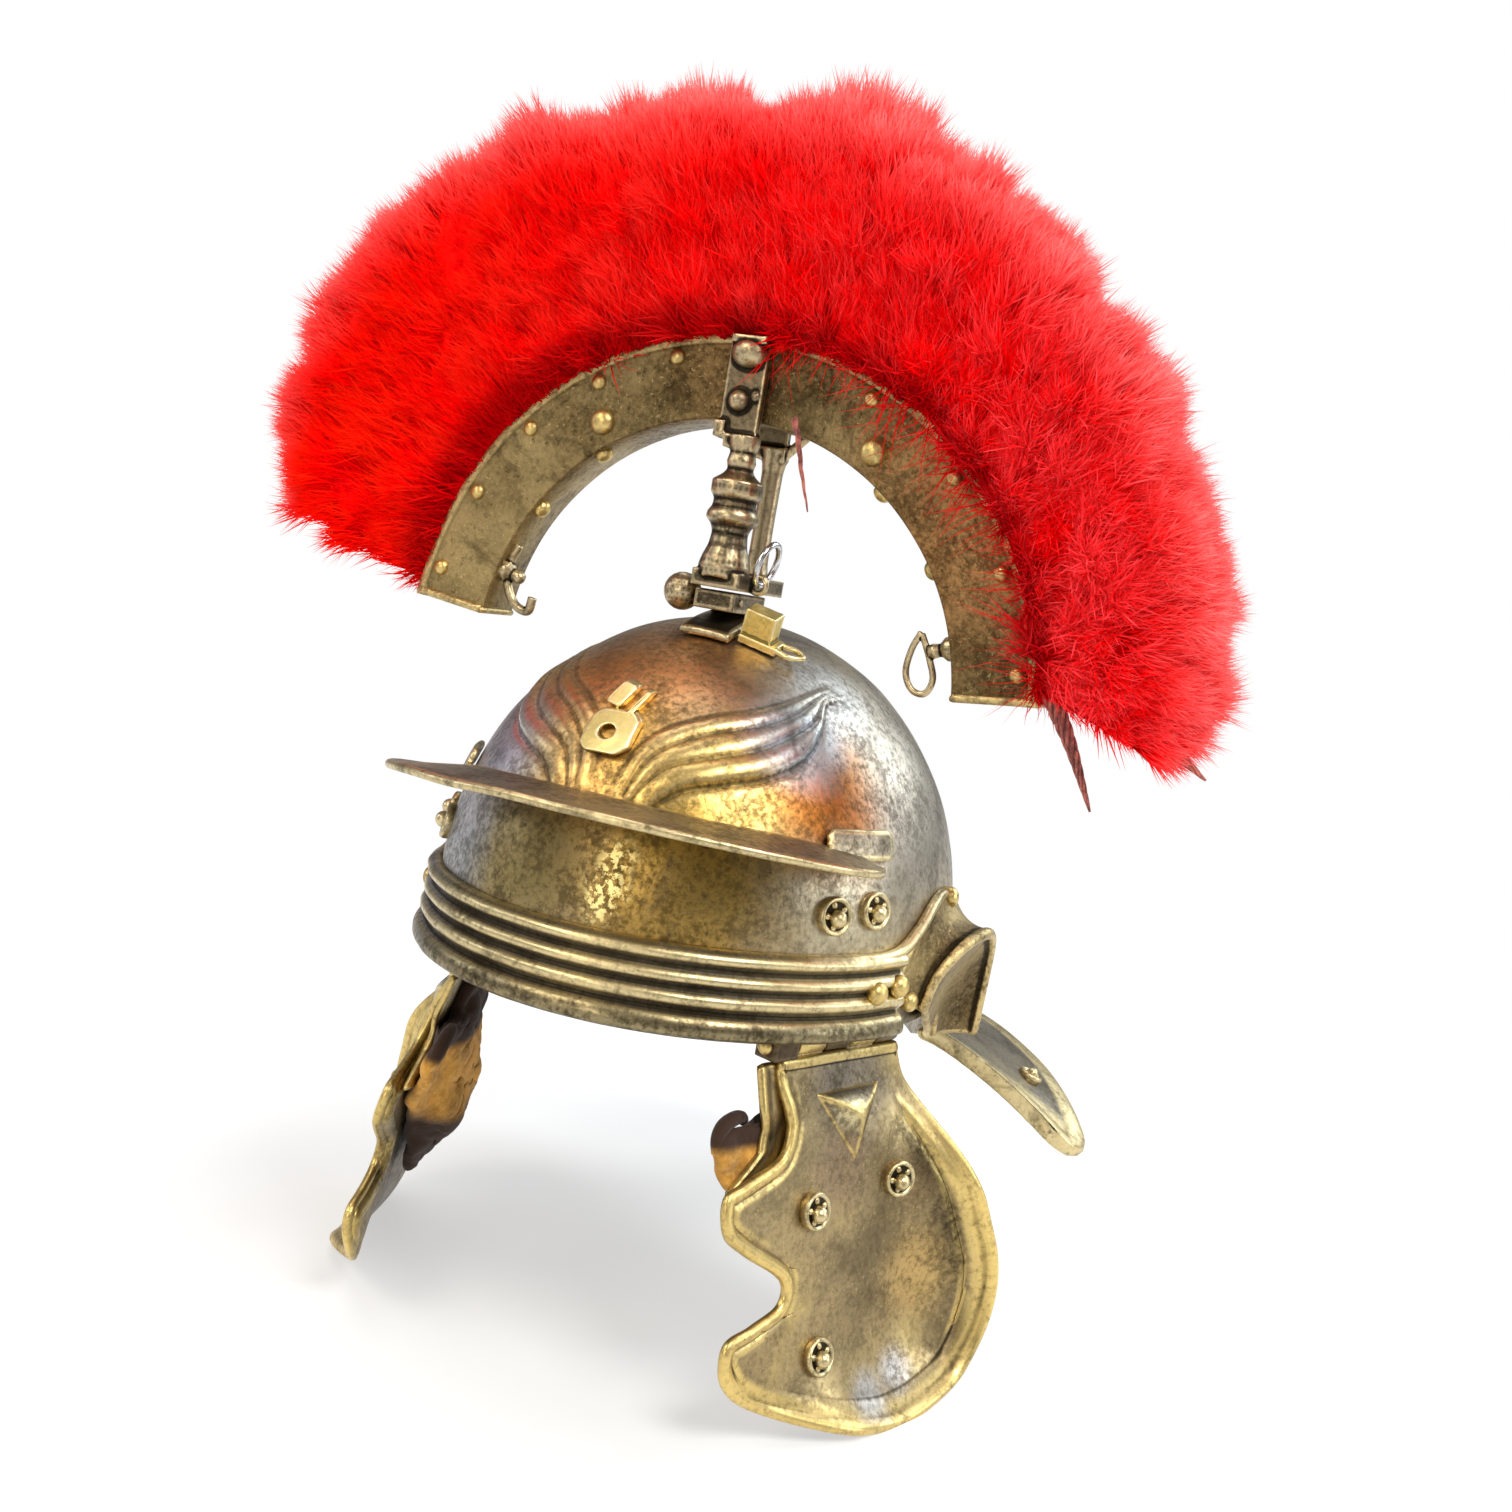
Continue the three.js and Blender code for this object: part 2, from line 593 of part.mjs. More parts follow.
// Fixed leaf of the hinge, a flat strip inside the bowl's wall with three knuckles.
function hingeLeaf() {
  const [half, start, end] = [LEAF_THICKNESS / 2, 0.2, LEAF_LENGTH - 0.2];
  const strip = [[start, -half], [end, -half], [end, half], [start, half]];
  const [low, height] = [1.15, 2.6];
  const leaf = loft(strip, 1, (share, along, out) => {
    const foot = HINGE_FRONT.clone().addScaledVector(hingeAlong, along).addScaledVector(hingeOut, out);
    return foot.add(vector(0, 0, low + height * share));
  });
  const straps = FIXED_KNUCKLES.map(([from, to]) => {
    const middle = HINGE_FRONT.clone().addScaledVector(hingeAlong, (from + to) / 2);
    const strap = new THREE.BoxGeometry(LEAF_THICKNESS, to - from, 1.4);
    strap.rotateZ(-Math.atan2(hingeAlong.x, hingeAlong.y));
    return strap.translate(middle.x, middle.y, middle.z + 0.8);
  });
  const barrels = FIXED_KNUCKLES.map(([from, to]) => knuckle(from, to));
  return cut(fuse(leaf, ...straps, ...barrels), hingeBore());
}

function hingePin() {
  return bare(rod(guardPoint(0, 0, 0), guardPoint(LEAF_LENGTH, 0, 0), PIN_RADIUS, 8));
}

// Suede lining that bulges towards the face between its flat edges.
function cheekLining() {
  const inner = -GUARD_THICKNESS / 2 - GAP;
  const [top, bottom] = [LINING_OUTLINE[0].below, LINING_OUTLINE[LINING_OUTLINE.length - 1].below];
  const bulge = (below) => LINING_PADDING * Math.sin((Math.PI * (below - top)) / (bottom - top));
  const padded = (onRim, below) => inner - LINING_THICKNESS - (onRim ? 0 : bulge(below));
  return guardSheet(LINING_OUTLINE, [0, 1.2, 3.0], [0, 1.2, 3.0], () => inner, padded);
}

// A point on the outer face of the guard, with the direction that it faces.
function guardSeat({ along, below }) {
  const on = (a, b) => guardPoint(a, b, guardSwell(a, b) + GUARD_THICKNESS / 2);
  const step = 0.2;
  const across = on(along + step, below).sub(on(along - step, below));
  const down = on(along, below + step).sub(on(along, below - step));
  const facing = across.cross(down).normalize();
  if (facing.dot(guardOut) < 0) facing.negate();
  return { at: on(along, below).addScaledVector(facing, GUARD_ORNAMENT_GAP), facing };
}

// Triangular boss below the hinge, a plate with a smaller flat top on it.
function cheekBoss() {
  const { at, facing } = guardSeat(CHEEK_BOSS);
  const triangle = (size) => {
    const shape = new THREE.Shape();
    shape.moveTo(-3.3 * size, 1.5 * size);
    shape.lineTo(3.1 * size, 1.6 * size);
    shape.lineTo(0.4 * size, -3.1 * size);
    shape.closePath();
    return shape;
  };
  const raise = (size, height) => new THREE.ExtrudeGeometry(triangle(size), {
    depth: height, bevelEnabled: false,
  });
  const boss = fuse(raise(1, 0.45), raise(0.74, 0.85));
  const up = guardDown.clone().negate().projectOnPlane(facing).normalize();
  const frame = new THREE.Matrix4().makeBasis(up.clone().cross(facing), up, facing).setPosition(at);
  return bare(boss.applyMatrix4(frame));
}

// Crest

function crestPoint(angle, radius, y) {
  return vector(radius * Math.sin(angle), y, CREST_CENTRE_Z + radius * Math.cos(angle));
}

// The crest box is a curved channel, open outward, with rolled lips and closed ends.
function crestBox() {
  const [inner, outer, half, wall] = [CREST_INNER, CREST_OUTER, CREST_HALF_WIDTH, CREST_WALL];
  const end = degrees(CREST_HALF_ANGLE);
  const [lip, roll] = [0.25, outer - 0.7];
  const profile = [
    [inner, -half], [inner, half], [roll, half], [roll, half + lip], [outer, half + lip],
    [outer, half - wall], [inner + wall, half - wall], [inner + wall, wall - half], [outer, wall - half],
    [outer, -half - lip], [roll, -half - lip], [roll, -half],
  ];
  const place = (share, radius, across) => {
    return crestPoint(THREE.MathUtils.lerp(-end, end, share), radius, CREST_Y + across);
  };
  const channel = loft(profile, 24, place);
  const caps = [-1, 1].map((side) => {
    const cap = [[inner, -half], [outer, -half], [outer, half], [inner, half]];
    return loft(cap, 1, (share, radius, across) => {
      const angle = side * (end - 0.003 - 0.022 * share);
      return crestPoint(angle, radius, CREST_Y + across);
    });
  });
  return fuse(channel, ...caps, ...crestRivets());
}

function crestRivets() {
  const rows = [
    { angles: [-78, -62, -46, -30, -14, 24, 44, 62, 79], radius: CREST_OUTER - 1.35, size: 0.42 },
    { angles: [-32, 30], radius: CREST_INNER + 1.6, size: 0.7 },
  ];
  const rivets = [];
  for (const { angles, radius, size } of rows) {
    for (const angle of angles) {
      const proud = CREST_HALF_WIDTH + size - 0.4;
      rivets.push(ball(crestPoint(degrees(angle), radius, CREST_Y - proud), size, 6));
    }
  }
  for (const angle of [-56, -36, 36, 56]) {
    rivets.push(ball(crestPoint(degrees(angle), CREST_INNER - 0.2, CREST_Y - 0.9), 0.55, 6));
  }
  return rivets;
}

// The plume is a fan of locks whose roots fill the channel.
function crestPlume() {
  const rootRadius = CREST_INNER + CREST_WALL + 0.25;
  const lipRadius = CREST_OUTER + 0.3;
  const free = PLUME_SECTION.map(({ along, half }) => [1 + along, half]);
  const side = [[0, PLUME_ROOT_HALF], [1, PLUME_ROOT_HALF], ...free];
  const front = side.map(([along, half]) => [along, -half]);
  const profile = [...front, [2, 0], ...side.reverse()];
  const [rootStart, rootEnd] = [-81.5, 81.5];
  const [tipStart, tipEnd] = [-77, 89];
  const [steps, locks] = [34, 17];
  const place = (share, along, half) => {
    const outside = Math.max(along - 1, 0);
    const tipAngle = THREE.MathUtils.lerp(tipStart, tipEnd, share);
    const angle = THREE.MathUtils.lerp(THREE.MathUtils.lerp(rootStart, rootEnd, share), tipAngle, outside);
    const wave = Math.cos(share * locks * Math.PI * 2 + (half > 0 ? 1.4 : 0));
    const ends = Math.min(1, 0.4 + Math.min(share, 1 - share) * 14);
    const pile = (tableValue(PLUME_OUTLINE, 'angle', 'tips', tipAngle) - lipRadius) * (0.8 + 0.2 * ends);
    const radius = outside > 0
      ? lipRadius + (pile + 0.6 * wave) * outside
      : THREE.MathUtils.lerp(rootRadius, lipRadius, along);
    const spread = outside > 0 ? half * (0.5 + 0.5 * ends) * (1 + 0.06 * wave) : half;
    return crestPoint(degrees(angle), radius, CREST_Y + spread);
  };
  return loft(profile, steps, place);
}

// One leg of the fork that carries the crest: bracket, studs and post.
function forkLeg(face, postProfile) {
  const y = CREST_Y + face * POST_OFFSET;
  const top = CREST_CENTRE_Z + CREST_OUTER - 0.2;
  const x = BRACKET_X;
  const plate = block(vector(x, y, top - 3.4), 2.9, 0.8, 6.8);
  const collar = block(vector(x + 0.3, y, top - 6.9), 2.4, 1.3, 0.9);
  const dome = lathe([[0, -0.3], [1.15, -0.3], [1.15, 0.3], [0.95, 0.8], [0.5, 1.15], [0, 1.25]], 8);
  const stud = stand(dome, vector(x, y + face * 0.3, top - 1.1), vector(0, face, 0));
  const rivet = ball(vector(x - 0.2, y + face * 0.4, top - 4.4), 0.72, 8);
  const corner = block(vector(x - 1.2, y + face * 0.2, top - 6.3), 0.8, 1.0, 0.8);
  const post = lathe(postProfile, 7).translate(POST_X, y, FOOT_LEVEL + FOOT_HEIGHT);
  return [plate, collar, stud, rivet, corner, post];
}

// The fork has a turned post in front, a plain one behind it, and a foot with a lug.
function crestFork() {
  const turned = [
    [0, -0.4], [1.75, -0.4], [1.75, 0.6], [1.3, 1.6], [1.2, 2.6], [1.75, 3.5], [1.45, 4.6],
    [1.7, 5.3], [1.7, 6.1], [0.85, 6.6], [1.0, 7.3], [0.85, 7.9], [1.05, 8.9], [0, 8.9],
  ];
  const plain = [[0, -0.4], [0.95, -0.4], [0.75, 1.2], [0.75, 7.2], [1.0, 8.9], [0, 8.9]];
  const centre = vector(POST_X, CREST_Y, FOOT_LEVEL + FOOT_HEIGHT / 2);
  const foot = block(centre, 3.4, 2 * POST_OFFSET + 2.6, FOOT_HEIGHT);
  const lug = new THREE.TorusGeometry(0.55, 0.2, 5, 8).rotateX(Math.PI / 2);
  lug.translate(POST_X + 2.15, LOCK_PIN_Y, FOOT_LEVEL + 0.6);
  return fuse(foot, lug, ...forkLeg(-1, turned), ...forkLeg(1, plain));
}

// Saddle plate on the crown with the socket that the fork stands in.
function crownPlate() {
  const [columns, rows] = [4, 5];
  const [width, depth] = [3.2, 6.4];
  const face = (lift) => (i, j) => {
    const x = SOCKET_X + (i / columns - 0.5) * width;
    return bowlTop(x, CREST_Y + (j / rows - 0.5) * depth, lift);
  };
  const saddle = slab(columns, rows, face(0.75), face(GAP));
  const socketHeight = 1.4;
  const centre = vector(SOCKET_X, CREST_Y, FOOT_LEVEL - GAP - socketHeight / 2);
  const socket = block(centre, 3.0, 5.6, socketHeight);
  const bore = rod(vector(-3, LOCK_PIN_Y, PIN_LEVEL), vector(4, LOCK_PIN_Y, PIN_LEVEL), 0.4, 8);
  return cut(fuse(saddle, socket), bore);
}

// Pin that locks the fork in its socket, with a round head at its free end.
function lockPin() {
  const [y, z] = [LOCK_PIN_Y, PIN_LEVEL];
  const shaft = rod(vector(-2.6, y, z), vector(SOCKET_X + 1.6, y, z), 0.27, 8);
  return fuse(shaft, ball(vector(-2.4, y, z), 1.2, 10));
}

// Ring that hangs through the lug of the fork's foot.
function lockRing() {
  const [size, lean] = [1.45, degrees(75)];
  const ring = new THREE.TorusGeometry(size, 0.16, 5, 14).rotateY(-lean);
  const [x, z] = [POST_X + 2.15 + size * Math.cos(lean), FOOT_LEVEL + 0.6 + size * Math.sin(lean)];
  return bare(ring.translate(x, LOCK_PIN_Y, z));
}

// Loose bare-brass keeper on the crown: a block on a strip with a wire loop.
function keeper() {
  const foot = bowlTop(3.6, -6.5, GAP);
  const up = bowlNormal(foot);
  const across = vector(1, 0, 0).projectOnPlane(up).normalize();
  const frame = new THREE.Matrix4().makeBasis(across, up.clone().cross(across), up).setPosition(foot);
  const strip = block(vector(0.3, 0, 0.3), 2.8, 1.6, 0.6);
  const body = block(vector(0, 0.2, 1.45), 2.2, 1.5, 1.9);
  const bow = [[0, -0.5], [1.2, -0.7], [2.0, 0], [1.2, 0.7], [0, 0.5]];
  const loop = wire(bow.map(([out, along]) => vector(1.4 + out, along, 0.4)), 0.2, 8);
  return bare(fuse(strip, body, loop).applyMatrix4(frame));
}

// Stud with a bent wire under one end of the crest box.
function endFitting(side, path) {
  const angle = degrees(side * END_FITTING_ANGLE);
  const root = crestPoint(angle, CREST_INNER - GAP, CREST_Y - 0.9);
  const inward = crestPoint(angle, CREST_INNER - 2, CREST_Y - 0.9).sub(root).normalize();
  const turned = lathe([[0, 0], [1.0, 0], [1.0, 0.4], [0.5, 0.8], [0.55, 1.5], [0, 1.8]], 8);
  const stud = stand(turned, root, inward);
  const tip = root.clone().addScaledVector(inward, 1.25);
  const points = path.map(([x, z]) => tip.clone().add(vector(x, 0, z)));
  return fuse(stud, wire(points, 0.24, 11));
}

// Rounded plate on the brow with a hole, a tab and a thin bar above it.
function browMedallion() {
  const shape = new THREE.Shape();
  const points = 24;
  for (let i = 0; i < points; i += 1) {
    const turn = (i / points) * Math.PI * 2;
    const radius = 1.85 - 0.14 * Math.cos(4 * turn);
    const [x, y] = [radius * Math.cos(turn), radius * Math.sin(turn)];
    if (i === 0) shape.moveTo(x, y);
    else shape.lineTo(x, y);
  }
  shape.closePath();
  const hole = new THREE.Path();
  hole.absarc(0, 0, 0.55, 0, Math.PI * 2, true);
  shape.holes.push(hole);
  const plate = new THREE.ExtrudeGeometry(shape, { depth: 0.7, bevelEnabled: false, curveSegments: 5 });
  const tab = block(vector(-0.4, 2.7, 0.4), 1.2, 2.4, 0.5);
  const bar = block(vector(1.0, 2.35, 0.4), 0.4, 2.3, 0.5);
  const at = bowlFront(MEDALLION_X, MEDALLION_LEVEL, ORNAMENT_GAP + 0.2);
  const facing = bowlNormal(at);
  const across = vector(1, 0, 0).projectOnPlane(facing).normalize();
  const frame = new THREE.Matrix4().makeBasis(across, facing.clone().cross(across), facing).setPosition(at);
  return bare(fuse(plate, tab, bar).applyMatrix4(frame));
}

// Assembly

addPiece('bowl', 'copper', bowl());
addPiece('brow_band', 'brass', browBand());
addPiece('peak', 'bright', peak());
addPiece('neck_guard', 'brass', neckGuard());
addPiece('brow_medallion', 'bright', browMedallion());
addPiece('crown_plate', 'brass', crownPlate());
addPiece('crest_fork', 'brass', crestFork());
addPiece('lock_pin', 'brass', lockPin());
addPiece('lock_ring', 'steel', lockRing());
addPiece('keeper', 'bright', keeper());
addPiece('crest_box', 'brass', crestBox());
addPiece('crest_plume', 'fur', crestPlume());
addPiece('crest_end_hook', 'brass', endFitting(-1, HOOK_PATH));
addPiece('crest_end_loop', 'brass', endFitting(1, LOOP_PATH));

for (const [side, name] of [[1, 'left'], [-1, 'right']]) {
  const sided = (geometry) => (side > 0 ? geometry : mirrored(geometry));
  addPiece(`${name}_ear_guard`, 'brass', sided(earGuard()));
  addPiece(`${name}_hinge_leaf`, 'brass', sided(hingeLeaf()));
  addPiece(`${name}_hinge_pin`, 'brass', sided(hingePin()));
  addPiece(`${name}_cheek_guard`, 'brass', sided(cheekGuard()));
  addPiece(`${name}_cheek_lining`, 'suede', sided(cheekLining()));
  addPiece(`${name}_cheek_boss`, 'brass', sided(cheekBoss()));
  TEMPLE_ROSETTES.forEach(({ angle, level }, i) => {
    const at = bowlPoint(degrees(angle), level, 0);
    const facing = bowlNormal(at);
    const piece = rosette(at.addScaledVector(facing, ORNAMENT_GAP), facing);
    addPiece(`${name}_temple_rosette_${i + 1}`, 'bright', sided(piece));
  });
  CHEEK_ROSETTES.forEach((place, i) => {
    const { at, facing } = guardSeat(place);
    addPiece(`${name}_cheek_rosette_${i + 1}`, 'bright', sided(rosette(at, facing)));
  });
  const lift = NECK_THICKNESS / 2 + GUARD_ORNAMENT_GAP;
  const seat = neckPoint(degrees(NECK_ROSETTE_ANGLE), NECK_ROSETTE_SHARE, lift);
  addPiece(`${name}_neck_rosette`, 'bright', sided(rosette(seat, vector(0.35, 0.1, 1))));
}

export default helmet;
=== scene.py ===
"""Dresses a one-sixth scale Roman helmet with patinated brass, suede and a red fur crest."""

import functools
import math

import bmesh
import bpy
import numpy as np
from mathutils import Matrix, Vector, kdtree, noise


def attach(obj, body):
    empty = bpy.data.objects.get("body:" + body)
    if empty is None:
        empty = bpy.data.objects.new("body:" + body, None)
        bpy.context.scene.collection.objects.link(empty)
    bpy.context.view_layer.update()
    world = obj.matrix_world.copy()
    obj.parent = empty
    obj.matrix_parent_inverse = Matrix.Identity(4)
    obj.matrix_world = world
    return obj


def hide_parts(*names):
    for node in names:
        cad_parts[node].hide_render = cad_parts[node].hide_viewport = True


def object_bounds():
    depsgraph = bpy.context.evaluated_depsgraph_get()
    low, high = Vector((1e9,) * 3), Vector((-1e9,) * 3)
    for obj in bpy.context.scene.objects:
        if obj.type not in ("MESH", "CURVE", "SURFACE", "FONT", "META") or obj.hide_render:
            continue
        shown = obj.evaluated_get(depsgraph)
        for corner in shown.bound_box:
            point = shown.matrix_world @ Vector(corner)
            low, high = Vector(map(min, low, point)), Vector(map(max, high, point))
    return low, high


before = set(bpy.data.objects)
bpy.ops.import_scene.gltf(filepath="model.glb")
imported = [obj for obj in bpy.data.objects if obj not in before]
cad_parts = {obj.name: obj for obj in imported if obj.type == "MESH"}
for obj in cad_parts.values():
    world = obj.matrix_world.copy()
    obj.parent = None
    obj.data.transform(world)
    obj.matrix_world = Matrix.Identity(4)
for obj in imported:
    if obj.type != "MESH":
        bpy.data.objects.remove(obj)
CAD_BOX = [list(corner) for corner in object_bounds()]

bl_info = {
    "name": "Roman helmet with transverse crest",
    "version": (1, 0, 0),
    "blender": (4, 5, 0),
    "location": "View3D > Sidebar > Helmet",
    "description": "Dresses the helmet's solids with patinated brass, suede and fur",
    "category": "Object",
}

MM = 0.001
SIDES = ((1, "left"), (-1, "right"))

# Sizes shared with the solids, in millimetres
BOWL_HALF_WIDTH = 17.6
BOWL_HALF_LENGTH = 20.8
BOWL_HEIGHT = 24.5
BOWL_STRAIGHT = 4.6
DOME_HEIGHT = BOWL_HEIGHT - BOWL_STRAIGHT
BOWL_WALL = 0.8
NAPE_DROP = 4.2
NAPE_ANGLES = (97, 122)
GAP = 0.12
BAND_HEIGHT = 5.4
BAND_END_ANGLE = 74.5
PEAK_REACH = 6.6
PEAK_END_REACH = 1.0
PEAK_LEVEL = 12.9
PEAK_FALL = 1.5
PEAK_THICKNESS = 0.9
PEAK_END_ANGLE = 60
NECK_RADIUS = 31.4
NECK_THICKNESS = 1.1
NECK_START_ANGLE = 114
NECK_WING_DROP = 11.6
NECK_BACK_DROP = 5.5
HINGE_FRONT = np.array([11.3, -13.1, -1.1])
HINGE_REAR = np.array([15.9, -1.0, -1.1])
GUARD_LEAN = math.radians(8.7)
GUARD_THICKNESS = 0.8
GUARD_FLARE = 3.4
GUARD_FLANGE = 7.5
GUARD_CAMBER = 1.1
KNUCKLE_RADIUS = 0.85
PIN_RADIUS = 0.38
LINING_THICKNESS = 1.2
LINING_PADDING = 1.8
CREST_Y = -4.8
CREST_CENTRE_Z = 20.0
CREST_INNER = 17.5
CREST_OUTER = 23.1
CREST_HALF_ANGLE = 84
CREST_HALF_WIDTH = 2.0
CREST_WALL = 0.5
POST_OFFSET = 2.75
FOOT_LEVEL = 26.4
FOOT_HEIGHT = 1.1
PIN_LEVEL = 25.6
LOCK_PIN_Y = CREST_Y - 1.6
END_FITTING_ANGLE = 73
BRACKET_X = 0.35
POST_X = 0.9
SOCKET_X = 0.5
LOCK_LUG = np.array([POST_X + 2.15, LOCK_PIN_Y, FOOT_LEVEL + 0.6])
LOCK_RING_RADIUS = 1.45
RING_WIRE = 0.22
HOOK_WIRE = 0.34
LOOP_WIRE = 0.23
END_FITTING_Y = CREST_Y - 0.9
KEEPER_AT = (3.6, -6.5)
MEDALLION_AT = (-0.8, 16.7)

# Angles, shares and counts
LOCK_RING_LEAN = math.radians(75)
NECK_ROSETTE_ANGLE = math.radians(124)
NECK_ROSETTE_SHARE = 0.72
PLUME_PARTS = 4
FLOOR_SIDES = 96
DISH_ROUNDS = 240

# Cheek guard outline: distance below the hinge, then front and rear edge along the hinge
GUARD_OUTLINE = (
    (1.15, -0.6, 13.0), (2.6, -0.5, 13.2), (4.2, -0.1, 14.0), (4.7, 1.9, 14.4), (7.2, 1.4, 16.1),
    (8.2, -2.5, 16.6), (8.7, -3.9, 16.8), (10.6, -3.9, 17.8), (11.9, -2.4, 18.4), (14.3, 1.3, 19.5),
    (16.2, 1.3, 20.2), (17.1, -1.2, 20.5), (17.6, -3.3, 20.5), (19.3, -3.3, 20.3), (21.2, -1.7, 19.8),
    (22.8, 1.2, 18.8), (24.2, 5.0, 17.3), (25.2, 8.9, 14.2),
)
LINING_OUTLINE = (
    (2.2, 3.0, 9.0), (4.1, 2.6, 9.4), (4.8, 0.6, 9.8), (5.2, -1.4, 10.0), (5.8, -2.6, 10.2),
    (7.0, -2.7, 10.8), (8.4, -2.0, 11.5), (9.6, -1.0, 12.0), (11.0, 0.4, 12.6), (12.4, 2.6, 12.9),
    (14.2, 4.0, 12.9), (16.0, 5.0, 12.8), (17.4, 6.0, 12.6),
)

# Pile of the plume: angle from the top of the arch and radius of the tips
PLUME_OUTLINE = (
    (-86, 35.5), (-76, 38.8), (-60, 40.8), (-46, 42.0), (-26, 40.6), (-12, 39.0), (8, 38.4), (28, 36.4),
    (50, 35.0), (72, 34.6), (90, 33.6),
)
# Half-thickness of the plume from the lip of the box, at 0, to its tips, at 1
PLUME_SECTION = ((0.0, 1.9), (0.14, 3.4), (0.45, 5.4), (0.78, 6.2), (0.94, 4.4), (1.0, 0.0))

# Grooves of the embossed eyebrow from its lower border to its upper one, as x and level
EYEBROW_GROOVES = (
    (
        (3.2, 12.3), (3.9, 13.3), (5.0, 14.2), (6.8, 14.8), (8.8, 15.5), (10.0, 16.6), (10.1, 18.2),
        (9.3, 20.2)
    ),
    (
        (2.2, 13.0), (2.6, 14.0), (3.4, 15.1), (4.9, 15.8), (7.4, 16.7), (8.6, 17.6), (9.4, 18.9),
        (9.1, 20.4)
    ),
    (
        (1.7, 13.2), (1.9, 14.4), (2.4, 15.7), (3.7, 16.8), (5.1, 17.5), (6.8, 18.1), (8.3, 19.2),
        (8.8, 20.6)
    ),
    (
        (0.8, 13.7), (1.0, 14.9), (1.3, 16.0), (2.4, 17.4), (4.5, 18.5), (6.5, 19.2), (7.9, 20.2),
        (8.5, 20.9)
    ),
)
EAR_ARCH = ((-4.0, 1.6), (-3.2, 3.9), (-0.8, 5.9), (2.6, 6.1), (5.8, 4.0), (7.6, 0.8), (8.4, -2.3))
MOVING_KNUCKLES = ((2.7, 5.2), (7.9, 10.4))
FIXED_KNUCKLES = ((0.2, 2.5), (5.4, 7.7), (10.6, 12.8))
TEMPLE_ROSETTES = ((53.5, 7.8), (63.5, 8.1))
CHEEK_ROSETTES = ((3.9, 10.6), (12.3, 9.8), (4.9, 20.1))
CHEEK_BOSS = (7.8, 4.9)
BOSS_CORNERS = ((-3.3, 1.5), (3.1, 1.6), (0.4, -3.1))
BOSS_HEIGHT = 1.1
GUARD_MIDDLE = (9.5, 16.4)
HOOK_PATH = ((-15.84, 27.0), (-16.3, 25.9), (-16.3, 24.1), (-15.5, 22.8), (-14.4, 22.5), (-14.15, 23.5))
LOOP_PATH = (
    (14.45, 25.8), (14.0, 24.6), (13.87, 23.1), (
        14.47, 22.05
    ), (15.37, 21.96), (15.73, 22.93), (15.3, 24.15),
    (14.86, 25.05), (14.5, 25.7),
)
# Ridges of the brow band as lift and level, and the one that sweeps up over the ear as Y and level
BAND_RIDGES = (
    (1.0, 0.0), (1.3, 0.25), (1.34, 0.7), (1.1, 1.2), (0.62, 1.5), (0.7, 1.75), (1.02, 2.1), (1.0, 2.5),
    (0.55, 2.85), (0.62, 3.1), (0.95, 3.4), (0.9, 3.75), (0.48, 4.1), (0.55, 4.35), (0.92, 4.7),
    (0.86, 5.05), (0.4, BAND_HEIGHT),
)
BAND_SWEEP = ((-12.6, 5.0), (-9.6, 5.0), (-6.6, 5.3), (-4.4, 6.5), (-2.2, 8.0), (-0.4, 8.6), (1.2, 8.3))
# Rolled lip of the lining, along the hinge and below it
LINING_ROLL = ((-2.8, 6.5), (-2.7, 5.6), (-2.2, 4.95), (-1.4, 4.6), (-0.6, 4.55), (-0.3, 4.9))
# Legs of the crest's fork as radius and height
TURNED_LEG = (
    (0, -0.4), (1.65, -0.4), (1.75, 0.3), (1.6, 0.9), (1.3, 1.7), (1.2, 2.5), (1.35, 3.0), (1.75, 3.4),
    (1.72, 3.8), (1.45, 4.2), (1.42, 4.7), (1.7, 5.1), (1.72, 5.9), (1.1, 6.35), (0.85, 6.7), (0.98, 7.2),
    (0.85, 7.8), (1.02, 8.4), (1.05, 8.9), (0, 9.0),
)
PLAIN_LEG = ((0, -0.4), (0.95, -0.4), (0.72, 1.0), (0.7, 4.0), (0.74, 7.2), (1.0, 8.9), (0, 9.0))
# Rivets of the crest box by their angle from the top of its arch
LIP_RIVETS = (-78, -62, -46, -30, -14, 24, 44, 62, 79)
FACE_RIVETS = (-32, 30)
INNER_RIVETS = (-56, -36, 36, 56)
# Loose locks of hair: how each hangs, its strands, its spread and the radius of a strand
WISPS = (
    (((4.1, -7.6, 38.0), (4.6, -7.4, 36.4), (5.0, -7.2, 34.8), (5.85, -7.0, 32.2)), 3, 0.14, 0.09),
    (((23.4, -6.4, 23.6), (25.2, -6.2, 20.6), (26.1, -6.0, 18.8), (27.15, -6.0, 16.7)), 6, 0.5, 0.16),
    (((28.6, -6.2, 22.4), (30.4, -6.8, 20.9), (32.0, -6.2, 20.9), (33.6, -6.4, 20.0)), 5, 0.6, 0.15),
)


# Curves and numbers


def unit(vectors):
    """Vectors of length one."""
    return vectors / np.maximum(np.linalg.norm(vectors, axis=-1, keepdims=True), 1e-9)


def ease(value, low, high):
    """A smooth step from 0 at low to 1 at high."""
    share = np.clip((np.asarray(value, float) - low) / (high - low), 0, 1)
    return share * share * (3 - 2 * share)


def smooth_line(points, per_span=10):
    """A smooth curve through a row of points."""
    p = np.asarray(points, float)
    row = np.vstack([2 * p[0] - p[1], p, 2 * p[-1] - p[-2]])
    t = np.linspace(0, 1, per_span, endpoint=False)[:, None]
    spans = []
    for a, b, c, d in zip(row, row[1:], row[2:], row[3:]):
        spans.append(b + 0.5 * t * (c - a + t * (2 * a - 5 * b + 4 * c - d + t * (3 * b - a - 3 * c + d))))
    return np.vstack([*spans, p[-1:]])


